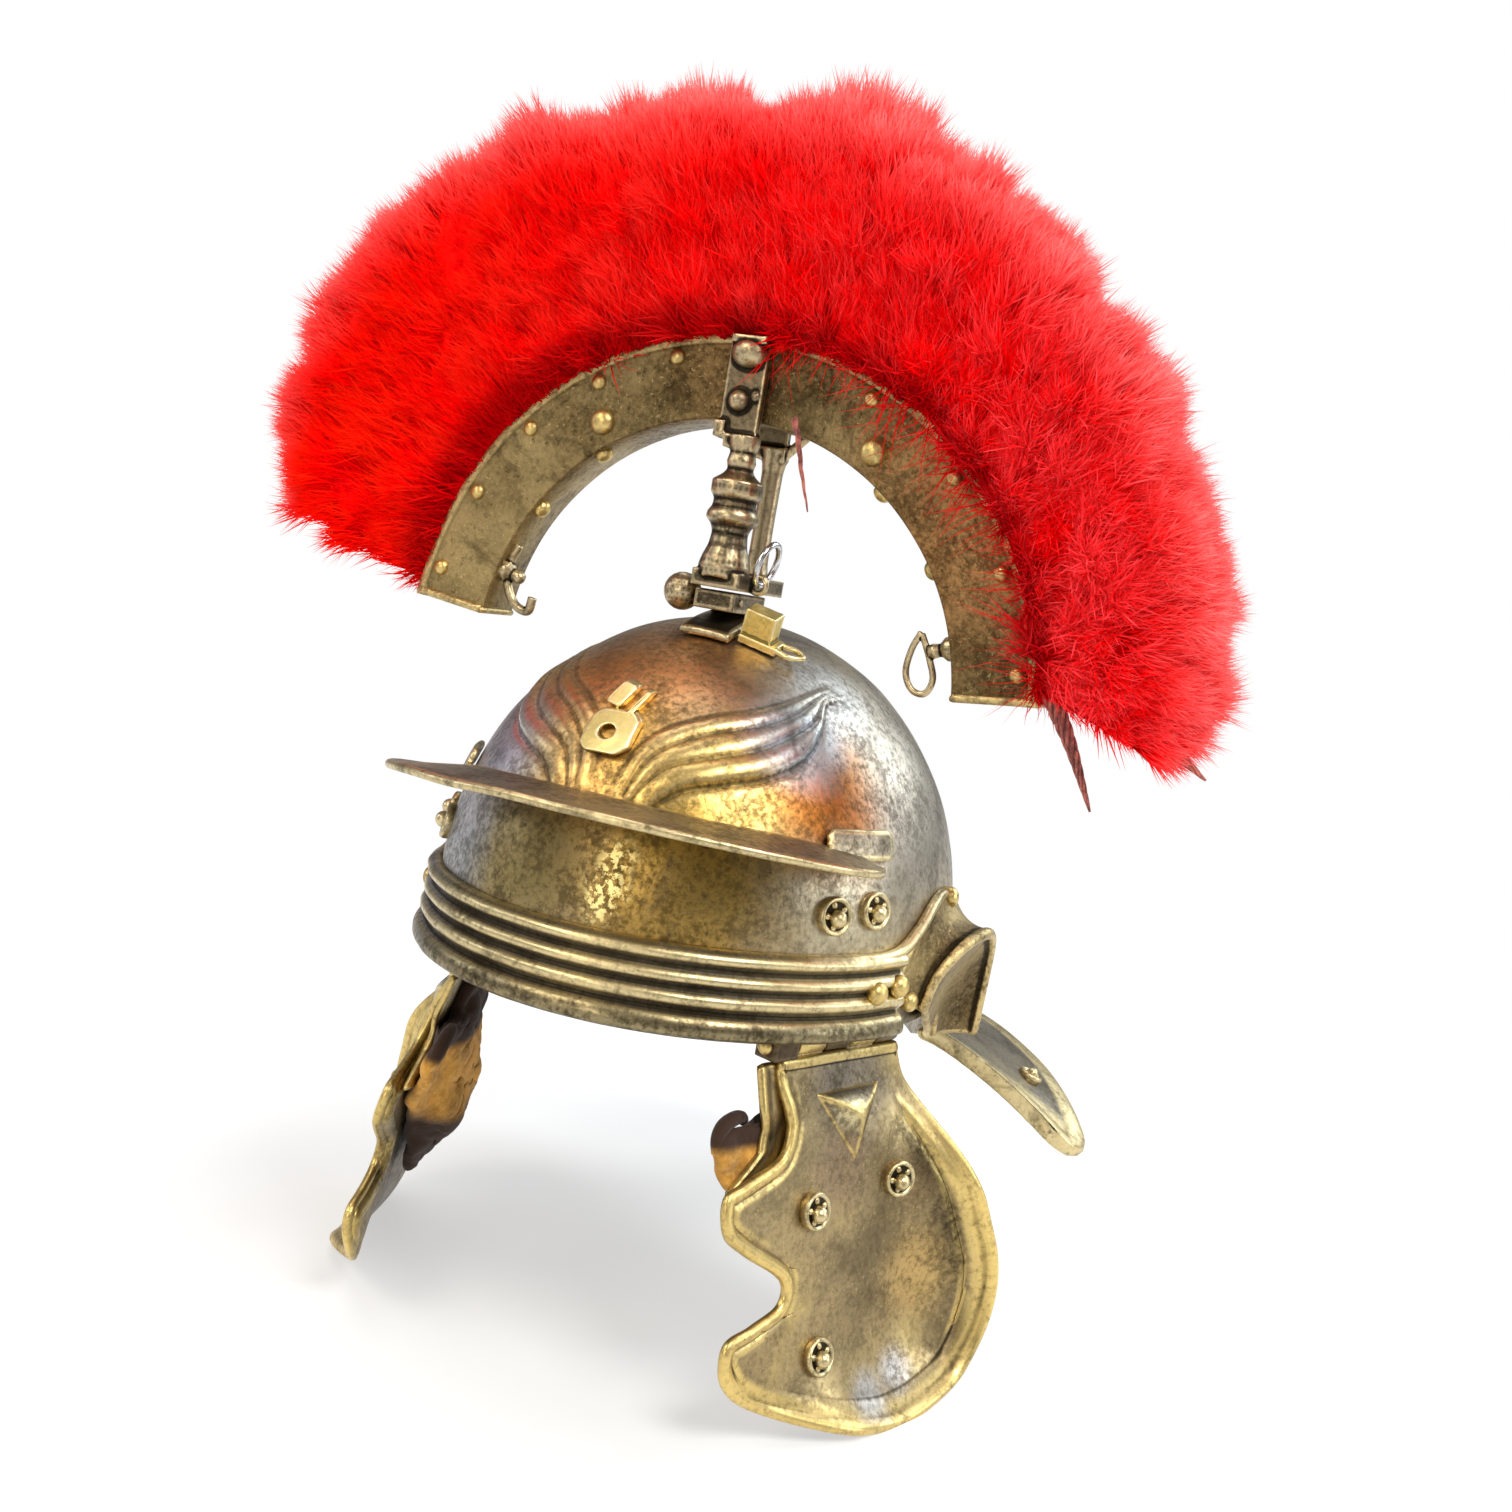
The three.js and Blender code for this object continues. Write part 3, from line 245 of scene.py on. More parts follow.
def evenly(line, count):
    """The same curve as points at even distances."""
    steps = np.linalg.norm(np.diff(line, axis=0), axis=1)
    along = np.concatenate([[0], np.cumsum(steps)])
    wanted = np.linspace(0, along[-1], count)
    return np.stack([np.interp(wanted, along, line[:, k]) for k in range(line.shape[1])], -1)


def waver(points, size, depth, seed=0.0):
    """A soft unevenness at each point, for waves of a given size and depth."""
    shift = Vector((seed, 1.7 * seed, 0.6 * seed))
    waves = [noise.noise(Vector(p) / size + shift) for p in points.reshape(-1, 3)]
    return depth * np.array(waves).reshape(points.shape[:-1])


def flat_tree(places):
    """Flat places, ready to be searched for the nearest one."""
    tree = kdtree.KDTree(len(places))
    for i, (x, y) in enumerate(places):
        tree.insert((x, y, 0.0), i)
    tree.balance()
    return tree


def edge_distance(points, line):
    """Distance of flat points from the nearest point of a line."""
    tree = flat_tree(line)
    gaps = [tree.find((x, y, 0.0))[2] for x, y in points.reshape(-1, 2)]
    return np.array(gaps).reshape(points.shape[:-1])


def circle(sides, radius=1.0):
    """Points round a circle, as flat places."""
    turn = np.linspace(0, 2 * math.pi, sides, endpoint=False)
    return np.stack([radius * np.cos(turn), radius * np.sin(turn)], -1)


# Bodies as points and faces, in millimetres


def grid_faces(columns, rows, ring=False, start=0):
    """Quads of a grid of points that are numbered column by column."""
    last = columns if ring else columns - 1
    i, j = np.meshgrid(np.arange(last), np.arange(rows - 1), indexing="ij")
    k = (i + 1) % columns
    quads = np.stack([i * rows + j, k * rows + j, k * rows + j + 1, i * rows + j + 1], -1)
    return (start + quads.reshape(-1, 4)).tolist()


def plate(grid, thickness, edge_steps=5):
    """A sheet of a given thickness round a grid of points, with half-round edges."""
    columns, rows = grid.shape[:2]
    half = np.broadcast_to(np.asarray(thickness, float) / 2, (columns, rows))[..., None]
    along = unit(np.gradient(grid, axis=0))
    across = unit(np.gradient(grid, axis=1))
    facing = unit(np.cross(along, across))
    top = [(i, 0) for i in range(columns)]
    right = [(columns - 1, j) for j in range(1, rows)]
    bottom = [(i, rows - 1) for i in range(columns - 2, -1, -1)]
    left = [(0, j) for j in range(rows - 2, 0, -1)]
    i, j = np.array(top + right + bottom + left).T
    away = np.zeros((len(i), 3))
    away -= across[i, j] * (j == 0)[:, None]
    away += across[i, j] * (j == rows - 1)[:, None]
    away -= along[i, j] * (i == 0)[:, None]
    away += along[i, j] * (i == columns - 1)[:, None]
    normal = facing[i, j]
    away = unit(away - normal * np.sum(away * normal, -1, keepdims=True))
    points = [(grid + facing * half).reshape(-1, 3), (grid - facing * half).reshape(-1, 3)]
    count = columns * rows
    faces = grid_faces(columns, rows)
    faces += [quad[::-1] for quad in grid_faces(columns, rows, start=count)]
    loops = [i * rows + j]
    start = 2 * count
    for step in range(1, edge_steps):
        turn = math.pi * step / edge_steps
        points.append(grid[i, j] + half[i, j] * (normal * math.cos(turn) + away * math.sin(turn)))
        loops.append(start + np.arange(len(i)))
        start += len(i)
    loops.append(count + i * rows + j)
    for near, far in zip(loops, loops[1:]):
        quads = np.stack([near, far, np.roll(far, -1), np.roll(near, -1)], -1)
        faces += quads.tolist()
    return np.vstack(points), faces


def shield(grid, thickness, outside, edge_steps=6):
    """A sheet of a given thickness over rings of points round a middle, with a half-round edge."""
    half = thickness / 2
    along = unit(np.roll(grid, -1, 1) - np.roll(grid, 1, 1))
    inward = unit(np.gradient(grid, axis=0))
    facing = unit(np.cross(along, inward))
    facing *= np.sign(facing @ outside)[..., None]
    facing[-3:] = unit(facing[-4].mean(0))
    away = unit(np.cross(along[0], facing[0]))
    away *= -np.sign(np.sum(away * inward[0], -1, keepdims=True))
    layers = [grid[::-1] + facing[::-1] * half]
    for step in range(1, edge_steps):
        turn = math.pi * step / edge_steps
        layers.append((grid[0] + half * (facing[0] * math.cos(turn) + away * math.sin(turn)))[None])
    layers.append(grid - facing * half)
    points = np.concatenate(layers)
    return loft(points, closed=False)


def loft(sections, closed=True):
    """A solid through a row of closed sections, with flat ends."""
    sections = np.asarray(sections, float)
    steps, count = sections.shape[:2]
    i, j = np.meshgrid(np.arange(steps - 1), np.arange(count), indexing="ij")
    k = (j + 1) % count
    quads = np.stack([i * count + j, i * count + k, (i + 1) * count + k, (i + 1) * count + j], -1)
    faces = quads.reshape(-1, 4).tolist()
    if closed:
        faces.append(list(range(count))[::-1])
        faces.append([(steps - 1) * count + j for j in range(count)])
    return sections.reshape(-1, 3), faces


def lathe(profile, sides=24):
    """A turned body about Z from radius and height pairs that start and end on the axis."""
    profile = np.asarray(profile, float)
    radius, height = profile[1:-1].T
    ring = circle(sides)[:, None] * radius[None, :, None]
    level = np.broadcast_to(height, ring.shape[:2])[..., None]
    rows = len(radius)
    points = np.concatenate([ring, level], -1).reshape(-1, 3)
    ends = [[0, 0, profile[0, 1]], [0, 0, profile[-1, 1]]]
    faces = grid_faces(sides, rows, ring=True)
    low, high = sides * rows, sides * rows + 1
    for i in range(sides):
        k = (i + 1) % sides
        faces.append([low, k * rows, i * rows])
        faces.append([high, i * rows + rows - 1, k * rows + rows - 1])
    return np.vstack([points, ends]), faces


def ball(centre, radius, sides=16):
    """A round ball."""
    turn = np.linspace(-math.pi / 2, math.pi / 2, sides // 2 + 1)
    points, faces = lathe(np.stack([radius * np.cos(turn), radius * np.sin(turn)], -1), sides)
    return points + np.asarray(centre), faces


def block(centre, size, turn=0.0):
    """A box of a given size, turned about Z."""
    corner = np.array([[x, y, z] for x in (-1, 1) for y in (-1, 1) for z in (-1, 1)]) * np.asarray(size) / 2
    c, s = math.cos(turn), math.sin(turn)
    points = corner @ np.array([[c, s, 0], [-s, c, 0], [0, 0, 1]]) + np.asarray(centre)
    faces = [[0, 1, 3, 2], [4, 6, 7, 5], [0, 4, 5, 1], [2, 3, 7, 6], [0, 2, 6, 4], [1, 5, 7, 3]]
    return points, faces


def facing_frame(direction):
    """Three axes with the last one along a direction."""
    z = unit(np.asarray(direction, float))
    side = np.array([0.0, 1.0, 0.0]) if abs(z[0]) > 0.9 else np.array([1.0, 0.0, 0.0])
    y = unit(np.cross(z, side))
    return np.stack([np.cross(y, z), y, z])


def stand(part, at, direction):
    """A body with its Z axis along a direction at a point."""
    points, faces = part
    return points @ facing_frame(direction) + np.asarray(at), faces


def tube(path, radius, sides=8, ring=False):
    """A round wire along a path, whose radius may change on the way."""
    path = np.asarray(path, float)
    along = unit(np.gradient(path, axis=0))
    if ring:
        along = unit(np.roll(path, -1, 0) - np.roll(path, 1, 0))
    across = facing_frame(along[0])[0]
    frames = []
    for direction in along:
        across = unit(across - direction * np.dot(across, direction))
        frames.append((across, np.cross(direction, across)))
    turn = circle(sides)
    radius = np.broadcast_to(np.asarray(radius, float), len(path))
    sections = [p + r * (turn[:, :1] * a + turn[:, 1:] * b) for p, r, (a, b) in zip(path, radius, frames)]
    if ring:
        sections.append(sections[0])
    return loft(sections, closed=not ring)


def joined(*parts):
    """Several bodies as one list of points and faces."""
    points, faces, start = [], [], 0
    for part_points, part_faces in parts:
        points.append(part_points)
        faces += [[start + int(i) for i in face] for face in part_faces]
        start += len(part_points)
    return np.vstack(points), faces


def mirrored(part, side):
    """The body itself for the left side, or its mirror image for the right one."""
    points, faces = part
    if side > 0:
        return part
    return points * [-1, 1, 1], [face[::-1] for face in faces]


# Pieces


def raw_mesh(name, part):
    """A mesh from points in millimetres and faces."""
    points, faces = part
    mesh = bpy.data.meshes.new(name)
    mesh.from_pydata((np.asarray(points) * MM).tolist(), [], faces)
    return mesh


def placed(name, data):
    """An object put in the scene."""
    made = bpy.data.objects.new(name, data)
    bpy.context.scene.collection.objects.link(made)
    return made


def new_piece(name, part, weld=False):
    """A piece whose faces all look outward, and whose meeting points may be welded."""
    mesh = raw_mesh(name, part)
    shape = bmesh.new()
    shape.from_mesh(mesh)
    if weld:
        bmesh.ops.remove_doubles(shape, verts=shape.verts, dist=1e-7)
    bmesh.ops.recalc_face_normals(shape, faces=shape.faces)
    shape.to_mesh(mesh)
    shape.free()
    return placed(name, mesh)


def add_piece(name, part, finish, nodes=(), body="shell", wear=True):
    """Makes a smooth piece from points and faces, and sets it on its body."""
    return finish_piece(new_piece(name, part, weld=True), finish, nodes, body, wear)


def finish_piece(piece, finish, nodes=(), body="shell", wear=True):
    """Gives a piece its wear, finish and place in the frame."""
    mesh = piece.data
    mesh.shade_smooth()
    if wear:
        paint_wear(mesh)
    mesh.materials.clear()
    mesh.materials.append(FINISHES[finish])
    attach(piece, body)
    if nodes:
        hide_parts(*nodes)
    return piece


def plain_mesh(piece):
    """Turns a piece with modifiers into the plain mesh that they make."""
    graph = bpy.context.evaluated_depsgraph_get()
    graph.update()
    shown = piece.evaluated_get(graph)
    made = bpy.data.meshes.new_from_object(shown, preserve_all_data_layers=True, depsgraph=graph)
    made.name = piece.name
    piece.modifiers.clear()
    old = piece.data
    piece.data = made
    bpy.data.meshes.remove(old)
    return piece


def cast_piece(name, parts, voxel, finish, nodes=(), body="shell", soften=3):
    """Melts several bodies into one casting with softened edges."""
    piece = new_piece(name, joined(*parts))
    melt = piece.modifiers.new("melt", "REMESH")
    melt.mode = "VOXEL"
    melt.voxel_size = voxel * MM
    smooth = piece.modifiers.new("soften", "SMOOTH")
    smooth.factor = 0.5
    smooth.iterations = soften
    plain_mesh(piece)
    return finish_piece(piece, finish, nodes, body)


def paint(mesh, name, values):
    """Stores a number on each vertex."""
    layer = mesh.attributes.new(name, "FLOAT", "POINT")
    layer.data.foreach_set("value", np.asarray(values, np.float32))


def vertex_rows(mesh, key):
    """What a mesh holds for each vertex: its place in metres, or the way that it faces."""
    rows = np.empty(len(mesh.vertices) * 3, np.float32)
    mesh.vertices.foreach_get(key, rows)
    return rows.reshape(-1, 3).astype(float)


def places_of(mesh):
    """The vertices of a mesh, in millimetres."""
    return vertex_rows(mesh, "co") / MM


def paint_wear(mesh, sharp=900.0, rounds=2):
    """Stores on each vertex how proud it stands: above a half on ridges, below in hollows."""
    count = len(mesh.vertices)
    co, normal = vertex_rows(mesh, "co"), vertex_rows(mesh, "normal")
    ends = np.empty(len(mesh.edges) * 2, np.int32)
    mesh.edges.foreach_get("vertices", ends)
    a, b = ends.reshape(-1, 2).T
    step = co[b] - co[a]
    square = np.sum(step * step, -1)
    near = np.bincount(a, minlength=count) + np.bincount(b, minlength=count)
    rise = np.bincount(a, -np.sum(step * normal[a], -1), count)
    rise = rise + np.bincount(b, np.sum(step * normal[b], -1), count)
    reach = np.bincount(a, square, count) + np.bincount(b, square, count)
    bend = 2 * rise / np.maximum(reach, 1e-14)
    for _ in range(rounds):
        total = np.bincount(a, bend[b], count) + np.bincount(b, bend[a], count)
        bend = 0.5 * bend + 0.5 * total / np.maximum(near, 1)
    paint(mesh, "wear", 0.5 + 0.5 * np.clip(bend / sharp, -1, 1))


# Finishes

FINISHES = {}


def feed(tree, socket, value):
    """Links a socket to another, or sets its value."""
    if isinstance(value, bpy.types.NodeSocket):
        tree.links.new(value, socket)
    elif isinstance(value, tuple) and len(value) == 3 and socket.type == "RGBA":
        socket.default_value = (*value, 1.0)
    else:
        socket.default_value = value


def link_nodes(tree, kind, inputs, **settings):
    """Adds a node to a tree, sets what it is and fills its inputs with values or links."""
    made = tree.nodes.new(kind)
    for key, value in settings.items():
        setattr(made, key, value)
    for key, value in inputs.items():
        feed(tree, made.inputs[key], value)
    return made


class Finish:
    """A material being made, with short ways to add and join its nodes."""

    def __init__(self, name):
        self.material = bpy.data.materials.new(name)
        self.material.use_nodes = True
        self.tree = self.material.node_tree
        self.shader = self.tree.nodes["Principled BSDF"]
        self.place = self.tree.nodes.new("ShaderNodeTexCoord").outputs["Object"]
        self.add = functools.partial(link_nodes, self.tree)

    def cloud(self, scale, detail=4.0, rough=0.55, twist=0.0, place=None):
        """A cloudy noise with so many patches to the metre."""
        values = {"Vector": place or self.place, "Scale": scale, "Detail": detail}
        values.update({"Roughness": rough, "Distortion": twist})
        return self.add("ShaderNodeTexNoise", values).outputs["Fac"]

    def between(self, value, low, high, start=0.0, end=1.0):
        """A smooth step of a value between two others."""
        values = {"Value": value, "From Min": low, "From Max": high, "To Min": start, "To Max": end}
        return self.add("ShaderNodeMapRange", values, interpolation_type="SMOOTHSTEP").outputs["Result"]

    def times(self, a, b, how="MULTIPLY"):
        """Two values put together, multiplied unless told otherwise."""
        return self.add("ShaderNodeMath", {0: a, 1: b}, operation=how).outputs["Value"]

    def mix(self, share, a, b):
        """A share of colour b over colour a."""
        made = self.add("ShaderNodeMix", {0: share, 6: a, 7: b}, data_type="RGBA")
        return made.outputs[2]

    def painted(self, name):
        """A value that is stored on the piece itself."""
        return self.add("ShaderNodeAttribute", {}, attribute_name=name).outputs["Fac"]

    def stretched(self, scale, turn=(0.0, 0.0, 0.0)):
        """Object coordinates stretched along one way, for scratches."""
        values = {"Vector": self.place, "Scale": scale, "Rotation": turn}
        return self.add("ShaderNodeMapping", values).outputs["Vector"]

    def patch(self, centre, radius, ragged=0.5):
        """A ragged round patch about a point, both in millimetres."""
        at = tuple(c * MM for c in centre)
        away = self.add("ShaderNodeVectorMath", {0: self.place, 1: at}, operation="DISTANCE")
        torn = self.times(self.cloud(260, 5, 0.6), ragged * radius * MM)
        edge = self.times(away.outputs["Value"], torn, "ADD")
        low, high = 0.55 * radius * MM, (1.0 + 0.75 * ragged) * radius * MM
        return self.between(edge, low, high, 1.0, 0.0)

    def bump(self, height, strength, depth, normal=None):
        """Roughens the surface by a height map of a given depth in millimetres."""
        values = {"Height": height, "Strength": strength, "Distance": depth * MM}
        if normal is not None:
            values["Normal"] = normal
        return self.add("ShaderNodeBump", values).outputs["Normal"]

    def close(self, **inputs):
        """Sets the shader's inputs and returns the material."""
        for name, value in inputs.items():
            label = name.replace("_", " ").title().replace("Ior", "IOR")
            feed(self.tree, self.shader.inputs[label], value)
        return self.material


def scaled(colour, amount):
    """A colour made darker or lighter."""
    return tuple(amount * c for c in colour)


def aged_metal(
    name, dark, base, bright, gloss=(0.32, 0.5), patches=(), grain=0.02, rub=0.55, mottled=0.6,
    painted_reflection_glints=(), hollow_grime_and_shade=0.9
):
    """Cast metal with dark specks, a cloudy patina, worn ridges and dark hollows, the hollows partly patina
    and partly painted shade.
    """
    made = Finish(name)
    cloud, between, times, mix, painted = made.cloud, made.between, made.times, made.mix, made.painted
    wide = cloud(95, 4, 0.55, 0.3)
    mottle = cloud(420, 6, 0.6, 0.5)
    speck = cloud(2500, 6, 0.7)
    wear = painted("wear")
    tone = times(times(speck, 0.62), times(mottle, 0.38), "ADD")
    shade = tuple(mottled * d + (1 - mottled) * b for d, b in zip(dark, base))
    colour = mix(between(tone, 0.37, 0.6), shade, base)
    colour = mix(between(wide, 0.52, 0.3, 0.0, 0.6), colour, dark)
    colour = mix(between(wide, 0.45, 0.72, 0.0, 0.4), colour, bright)
    # Stored bright edges: on the cheek guards partly bright brass and partly painted highlight, on the
    # collar a painted highlight.
    edge_brass_and_highlight = times(painted("gild"), between(tone, 0.36, 0.52, 0.3, 0.9))
    colour = mix(edge_brass_and_highlight, colour, bright)
    for centre, radius, tint, amount in patches:
        mask = times(made.patch(centre, radius), amount)
        tinted = mix(between(tone, 0.4, 0.58), scaled(tint, 0.4), scaled(tint, 1.1))
        colour = mix(mask, colour, tinted)
    # Painted reflection: bright gold glints in given patches, where a light would glint on rough metal.
    for centre, radius in painted_reflection_glints:
        mask = times(made.patch(centre, radius, 0.8), between(cloud(1700, 5, 0.7), 0.49, 0.55))
        colour = mix(mask, colour, (1.0, 0.84, 0.36))
    rubbed = times(between(wear, 0.54, 0.8, 0.0, rub), between(tone, 0.36, 0.54, 0.25, 1.0))
    colour = mix(rubbed, colour, bright)
    flecks = between(cloud(4300, 3, 0.6), 0.6, 0.7, 0.0, 0.5 * rub)
    colour = mix(flecks, colour, bright)
    # Painted shade from the stored dim value, inside the cheek guards' flanges and on their inner faces;
    # the same value darkens the foot of the brow band.
    shaded = times(painted("dim"), between(tone, 0.36, 0.6, 1.0, 0.65))
    colour = mix(shaded, colour, scaled(dark, 0.5))
    # Hollows turn near-black brown: partly patina in the recesses, partly painted shade where light would
    # not reach.
    grime_and_shade = scaled(dark, 0.3)
    colour = mix(between(wear, 0.47, 0.2, 0.0, hollow_grime_and_shade), colour, grime_and_shade)
    blots = between(cloud(240, 7, 0.7, 0.8), 0.52, 0.66, 0.0, 0.55 * mottled)
    colour = mix(blots, colour, scaled(dark, 0.8))
    pits = between(cloud(1500, 6, 0.75), 0.63 - 0.07 * mottled, 0.68, 0.0, 0.7 * mottled)
    colour = mix(pits, colour, grime_and_shade)
    rough = between(tone, 0.36, 0.6, gloss[1], gloss[0])
    rough = times(rough, between(wear, 0.3, 0.6, 0.2, 0.0), "ADD")
    lines = cloud(1.0, 3, 0.6, 0.0, made.stretched((5200.0, 420.0, 420.0), (0.4, 0.7, 0.5)))
    normal = made.bump(speck, 0.55, grain)
    normal = made.bump(lines, 0.25, grain, normal)
    normal = made.bump(mottle, 0.4, 3.0 * grain, normal)
    return made.close(base_color=colour, metallic=1.0, roughness=rough, normal=normal)


def suede(colours):
    """Napped orange-tan leather that turns dark where its stored nap value is low, along the lining's
    border.
    """
    finish = Finish("suede")
    nap = finish.cloud(2600, 6, 0.7)
    rubbed = finish.cloud(420, 5, 0.6, 0.5)
    face = finish.times(finish.painted("nap"), finish.between(rubbed, 0.3, 0.6, 0.45, 1.0))
    colour = finish.mix(face, tuple(colours.suede_dark), tuple(colours.suede))
    light = finish.times(face, finish.between(nap, 0.42, 0.72, 0.0, 0.6))
    colour = finish.mix(light, colour, tuple(colours.suede_light))
    normal = finish.bump(nap, 0.9, 0.08)
    normal = finish.bump(rubbed, 0.5, 0.25, normal)
    sheen = {"sheen_weight": 0.15, "sheen_roughness": 0.5, "specular_ior_level": 0.1}
    return finish.close(base_color=colour, roughness=0.95, normal=normal, **sheen)


def fur(name, colours, strand):
    """Red fur: painted shade deep in the pile and by the box, tips orange on one side and pink on the other
    (dye and painted light), a pale painted sheen at the rim.
    """
    made = Finish(name)
    cloud, between, times, mix, painted = made.cloud, made.between, made.times, made.mix, made.painted
    root, red, warm, cool, rim_sheen = (
        tuple(c) for c in (
            colours.fur_root, colours.fur, colours.fur_warm, colours.fur_cool, colours.fur_tip
        )
    )
    if strand:
        tip, tone, rim = (painted(key) for key in ("tip", "tone", "rim"))
    else:
        tip = between(cloud(700, 5, 0.7), 0.3, 0.7, 0.1, 0.5)
        tone = cloud(2600, 4, 0.6)
        rim = painted("rim")
    across = made.add("ShaderNodeSeparateXYZ", {0: made.place}).outputs["X"]
    # Orange on one side and pink on the other: partly dye, partly painted light on the side where the light
    # falls.
    dye_and_side_light = mix(between(across, -0.03, 0.034), warm, cool)
    # Painted shade: strands darken towards their roots, deep in the pile.
    colour = mix(between(tip, 0.0, 0.5), root, red)
    # Painted glints: a share of strand tips turn to the brighter side colour.
    glint = times(between(tone, 0.15, 0.9, 0.0, 1.0), between(tip, 0.1, 0.8))
    colour = mix(glint, colour, dye_and_side_light)
    # Painted sheen: pale pink tips towards the outer edge, where light scatters in the fibres.
    pale = times(between(rim, 0.62, 1.06, 0.0, 0.8), between(tip, 0.3, 0.95))
    colour = mix(pale, colour, rim_sheen)
    # Painted shade on the fur close to the box.
    colour = mix(between(rim, 0.16, 0.02, 0.0, 0.7), colour, root)
    # Painted light: a faint glow in the fur's own colour stands in for light passing through the strands.
    glow = {"emission_color": colour, "emission_strength": 0.05}
    return made.close(base_color=colour, roughness=0.9, specular_ior_level=0.0, **glow)


def wisp_hair(colours):
    """Faded pink-brown hair of the loose twisted locks."""
    finish = Finish("fur_wisps")
    tone = finish.cloud(1400, 5, 0.65)
    colour = finish.mix(finish.between(tone, 0.35, 0.65), tuple(colours.wisp_dark), tuple(colours.wisp))
    normal = finish.bump(tone, 0.5, 0.05)
    return finish.close(base_color=colour, roughness=0.7, normal=normal, sheen_weight=0.2)


# Surfaces of the helmet


def bowl_rise(level, lift):
    """Share of the dome's height that a level has reached."""
    return np.maximum(level - BOWL_STRAIGHT, 0) / (DOME_HEIGHT + lift)


def bowl_point(angle, level, lift=0.0):
    """A point on the bowl, or lifted off it, at an angle from the front and a level."""
    angle, level, lift = np.broadcast_arrays(*(np.asarray(v, float) for v in (angle, level, lift)))
    share = np.sqrt(np.maximum(1 - bowl_rise(level, lift) ** 2, 0))
    x = (BOWL_HALF_WIDTH + lift) * share * np.sin(angle)
    y = -(BOWL_HALF_LENGTH + lift) * share * np.cos(angle)
    return np.stack([x, y, level], -1)


def bowl_side(y, z, lift=0.0):
    """A point on the left side of the bowl by its Y and level."""
    left = 1 - bowl_rise(z, lift) ** 2 - (y / (BOWL_HALF_LENGTH + lift)) ** 2
    share = np.sqrt(np.maximum(left, 0))
    return np.stack(np.broadcast_arrays((BOWL_HALF_WIDTH + lift) * share, y, z), -1)


def bowl_top(x, y, lift=0.0):
    """A point on the crown of the bowl by its X and Y."""
    left = 1 - (x / (BOWL_HALF_WIDTH + lift)) ** 2 - (y / (BOWL_HALF_LENGTH + lift)) ** 2
    z = BOWL_STRAIGHT + (DOME_HEIGHT + lift) * np.sqrt(np.maximum(left, 0))
    return np.stack(np.broadcast_arrays(x, y, z), -1)


def bowl_front(x, z, lift=0.0):
    """A point on the front of the bowl by its X and level."""
    left = 1 - bowl_rise(z, lift) ** 2 - (x / (BOWL_HALF_WIDTH + lift)) ** 2
    share = np.sqrt(np.maximum(left, 0))
    return np.stack(np.broadcast_arrays(x, -(BOWL_HALF_LENGTH + lift) * share, z), -1)


def bowl_normal(points):
    """The way that the bowl faces at its points."""
    rise = np.maximum(points[..., 2] - BOWL_STRAIGHT, 0)
    slope = [
        points[..., 0] / BOWL_HALF_WIDTH**2,
        points[..., 1] / BOWL_HALF_LENGTH**2,
        rise / DOME_HEIGHT**2,
    ]
    return unit(np.stack(slope, -1))


HINGE_ALONG = unit(HINGE_REAR - HINGE_FRONT)
HINGE_OUT = np.array([HINGE_ALONG[1], -HINGE_ALONG[0], 0.0])
GUARD_DOWN = np.array([0, 0, -math.cos(GUARD_LEAN)]) + HINGE_OUT * math.sin(GUARD_LEAN)
GUARD_OUT = HINGE_OUT * math.cos(GUARD_LEAN) + np.array([0, 0, math.sin(GUARD_LEAN)])


def guard_point(along, below, out):
    """A point of the left cheek guard's frame, from the front end of its hinge."""
    along, below, out = np.broadcast_arrays(*(np.asarray(v, float) for v in (along, below, out)))
    offset = along[..., None] * HINGE_ALONG + below[..., None] * GUARD_DOWN + out[..., None] * GUARD_OUT
    return HINGE_FRONT + offset


def guard_places(piece, side):
    """Vertices of a piece of either guard, as places along the hinge and below it."""
    offset = places_of(piece.data) * [side, 1, 1] - HINGE_FRONT
    return np.stack([offset @ HINGE_ALONG, offset @ GUARD_DOWN], -1)


def guard_swell(along, below):
    """How far the plate stands out of its plane: camber and flared rear and lower edges."""
    table = np.array(GUARD_OUTLINE)
    rear = np.interp(below, table[:, 0], table[:, 2])
    bottom = table[-1, 0]
    to_edge = np.minimum(rear - along, (bottom - below) * 0.9 + 0.2)
    flare = GUARD_FLARE * (1 - np.clip((to_edge + 0.3) / GUARD_FLANGE, 0, 1)) ** 2
    grown = ease(below, 3.0, 12.0)
    camber = GUARD_CAMBER * np.sin(math.pi * np.clip((below - 1) / bottom, 0, 1))
    return flare * grown + camber


def guard_seat(along, below):
    """A point on the outer face of the left guard and the way that it faces."""
    def on(a, b):
        return guard_point(a, b, guard_swell(a, b) + GUARD_THICKNESS / 2)

    step = 0.2
    across = on(along + step, below) - on(along - step, below)
    down = on(along, below + step) - on(along, below - step)
    facing = unit(np.cross(across, down))
    if np.dot(facing, GUARD_OUT) < 0:
        facing = -facing
    return on(along, below), facing


def collar_level(from_back, share):
    """Level of the collar by how far it is from the back of the neck and from the bowl to the rim."""
    fall = NECK_BACK_DROP + (NECK_WING_DROP - NECK_BACK_DROP) * from_back**3
    return -(NAPE_DROP - 0.8) - (fall - NAPE_DROP + 0.8) * share**1.3


def crest_point(angle, radius, y):
    """A point of the crest at an angle in degrees from the top of its arch."""
    turn = np.radians(angle)
    x, y, z = np.broadcast_arrays(radius * np.sin(turn), y, CREST_CENTRE_Z + radius * np.cos(turn))
    return np.stack([x, y, z], -1)


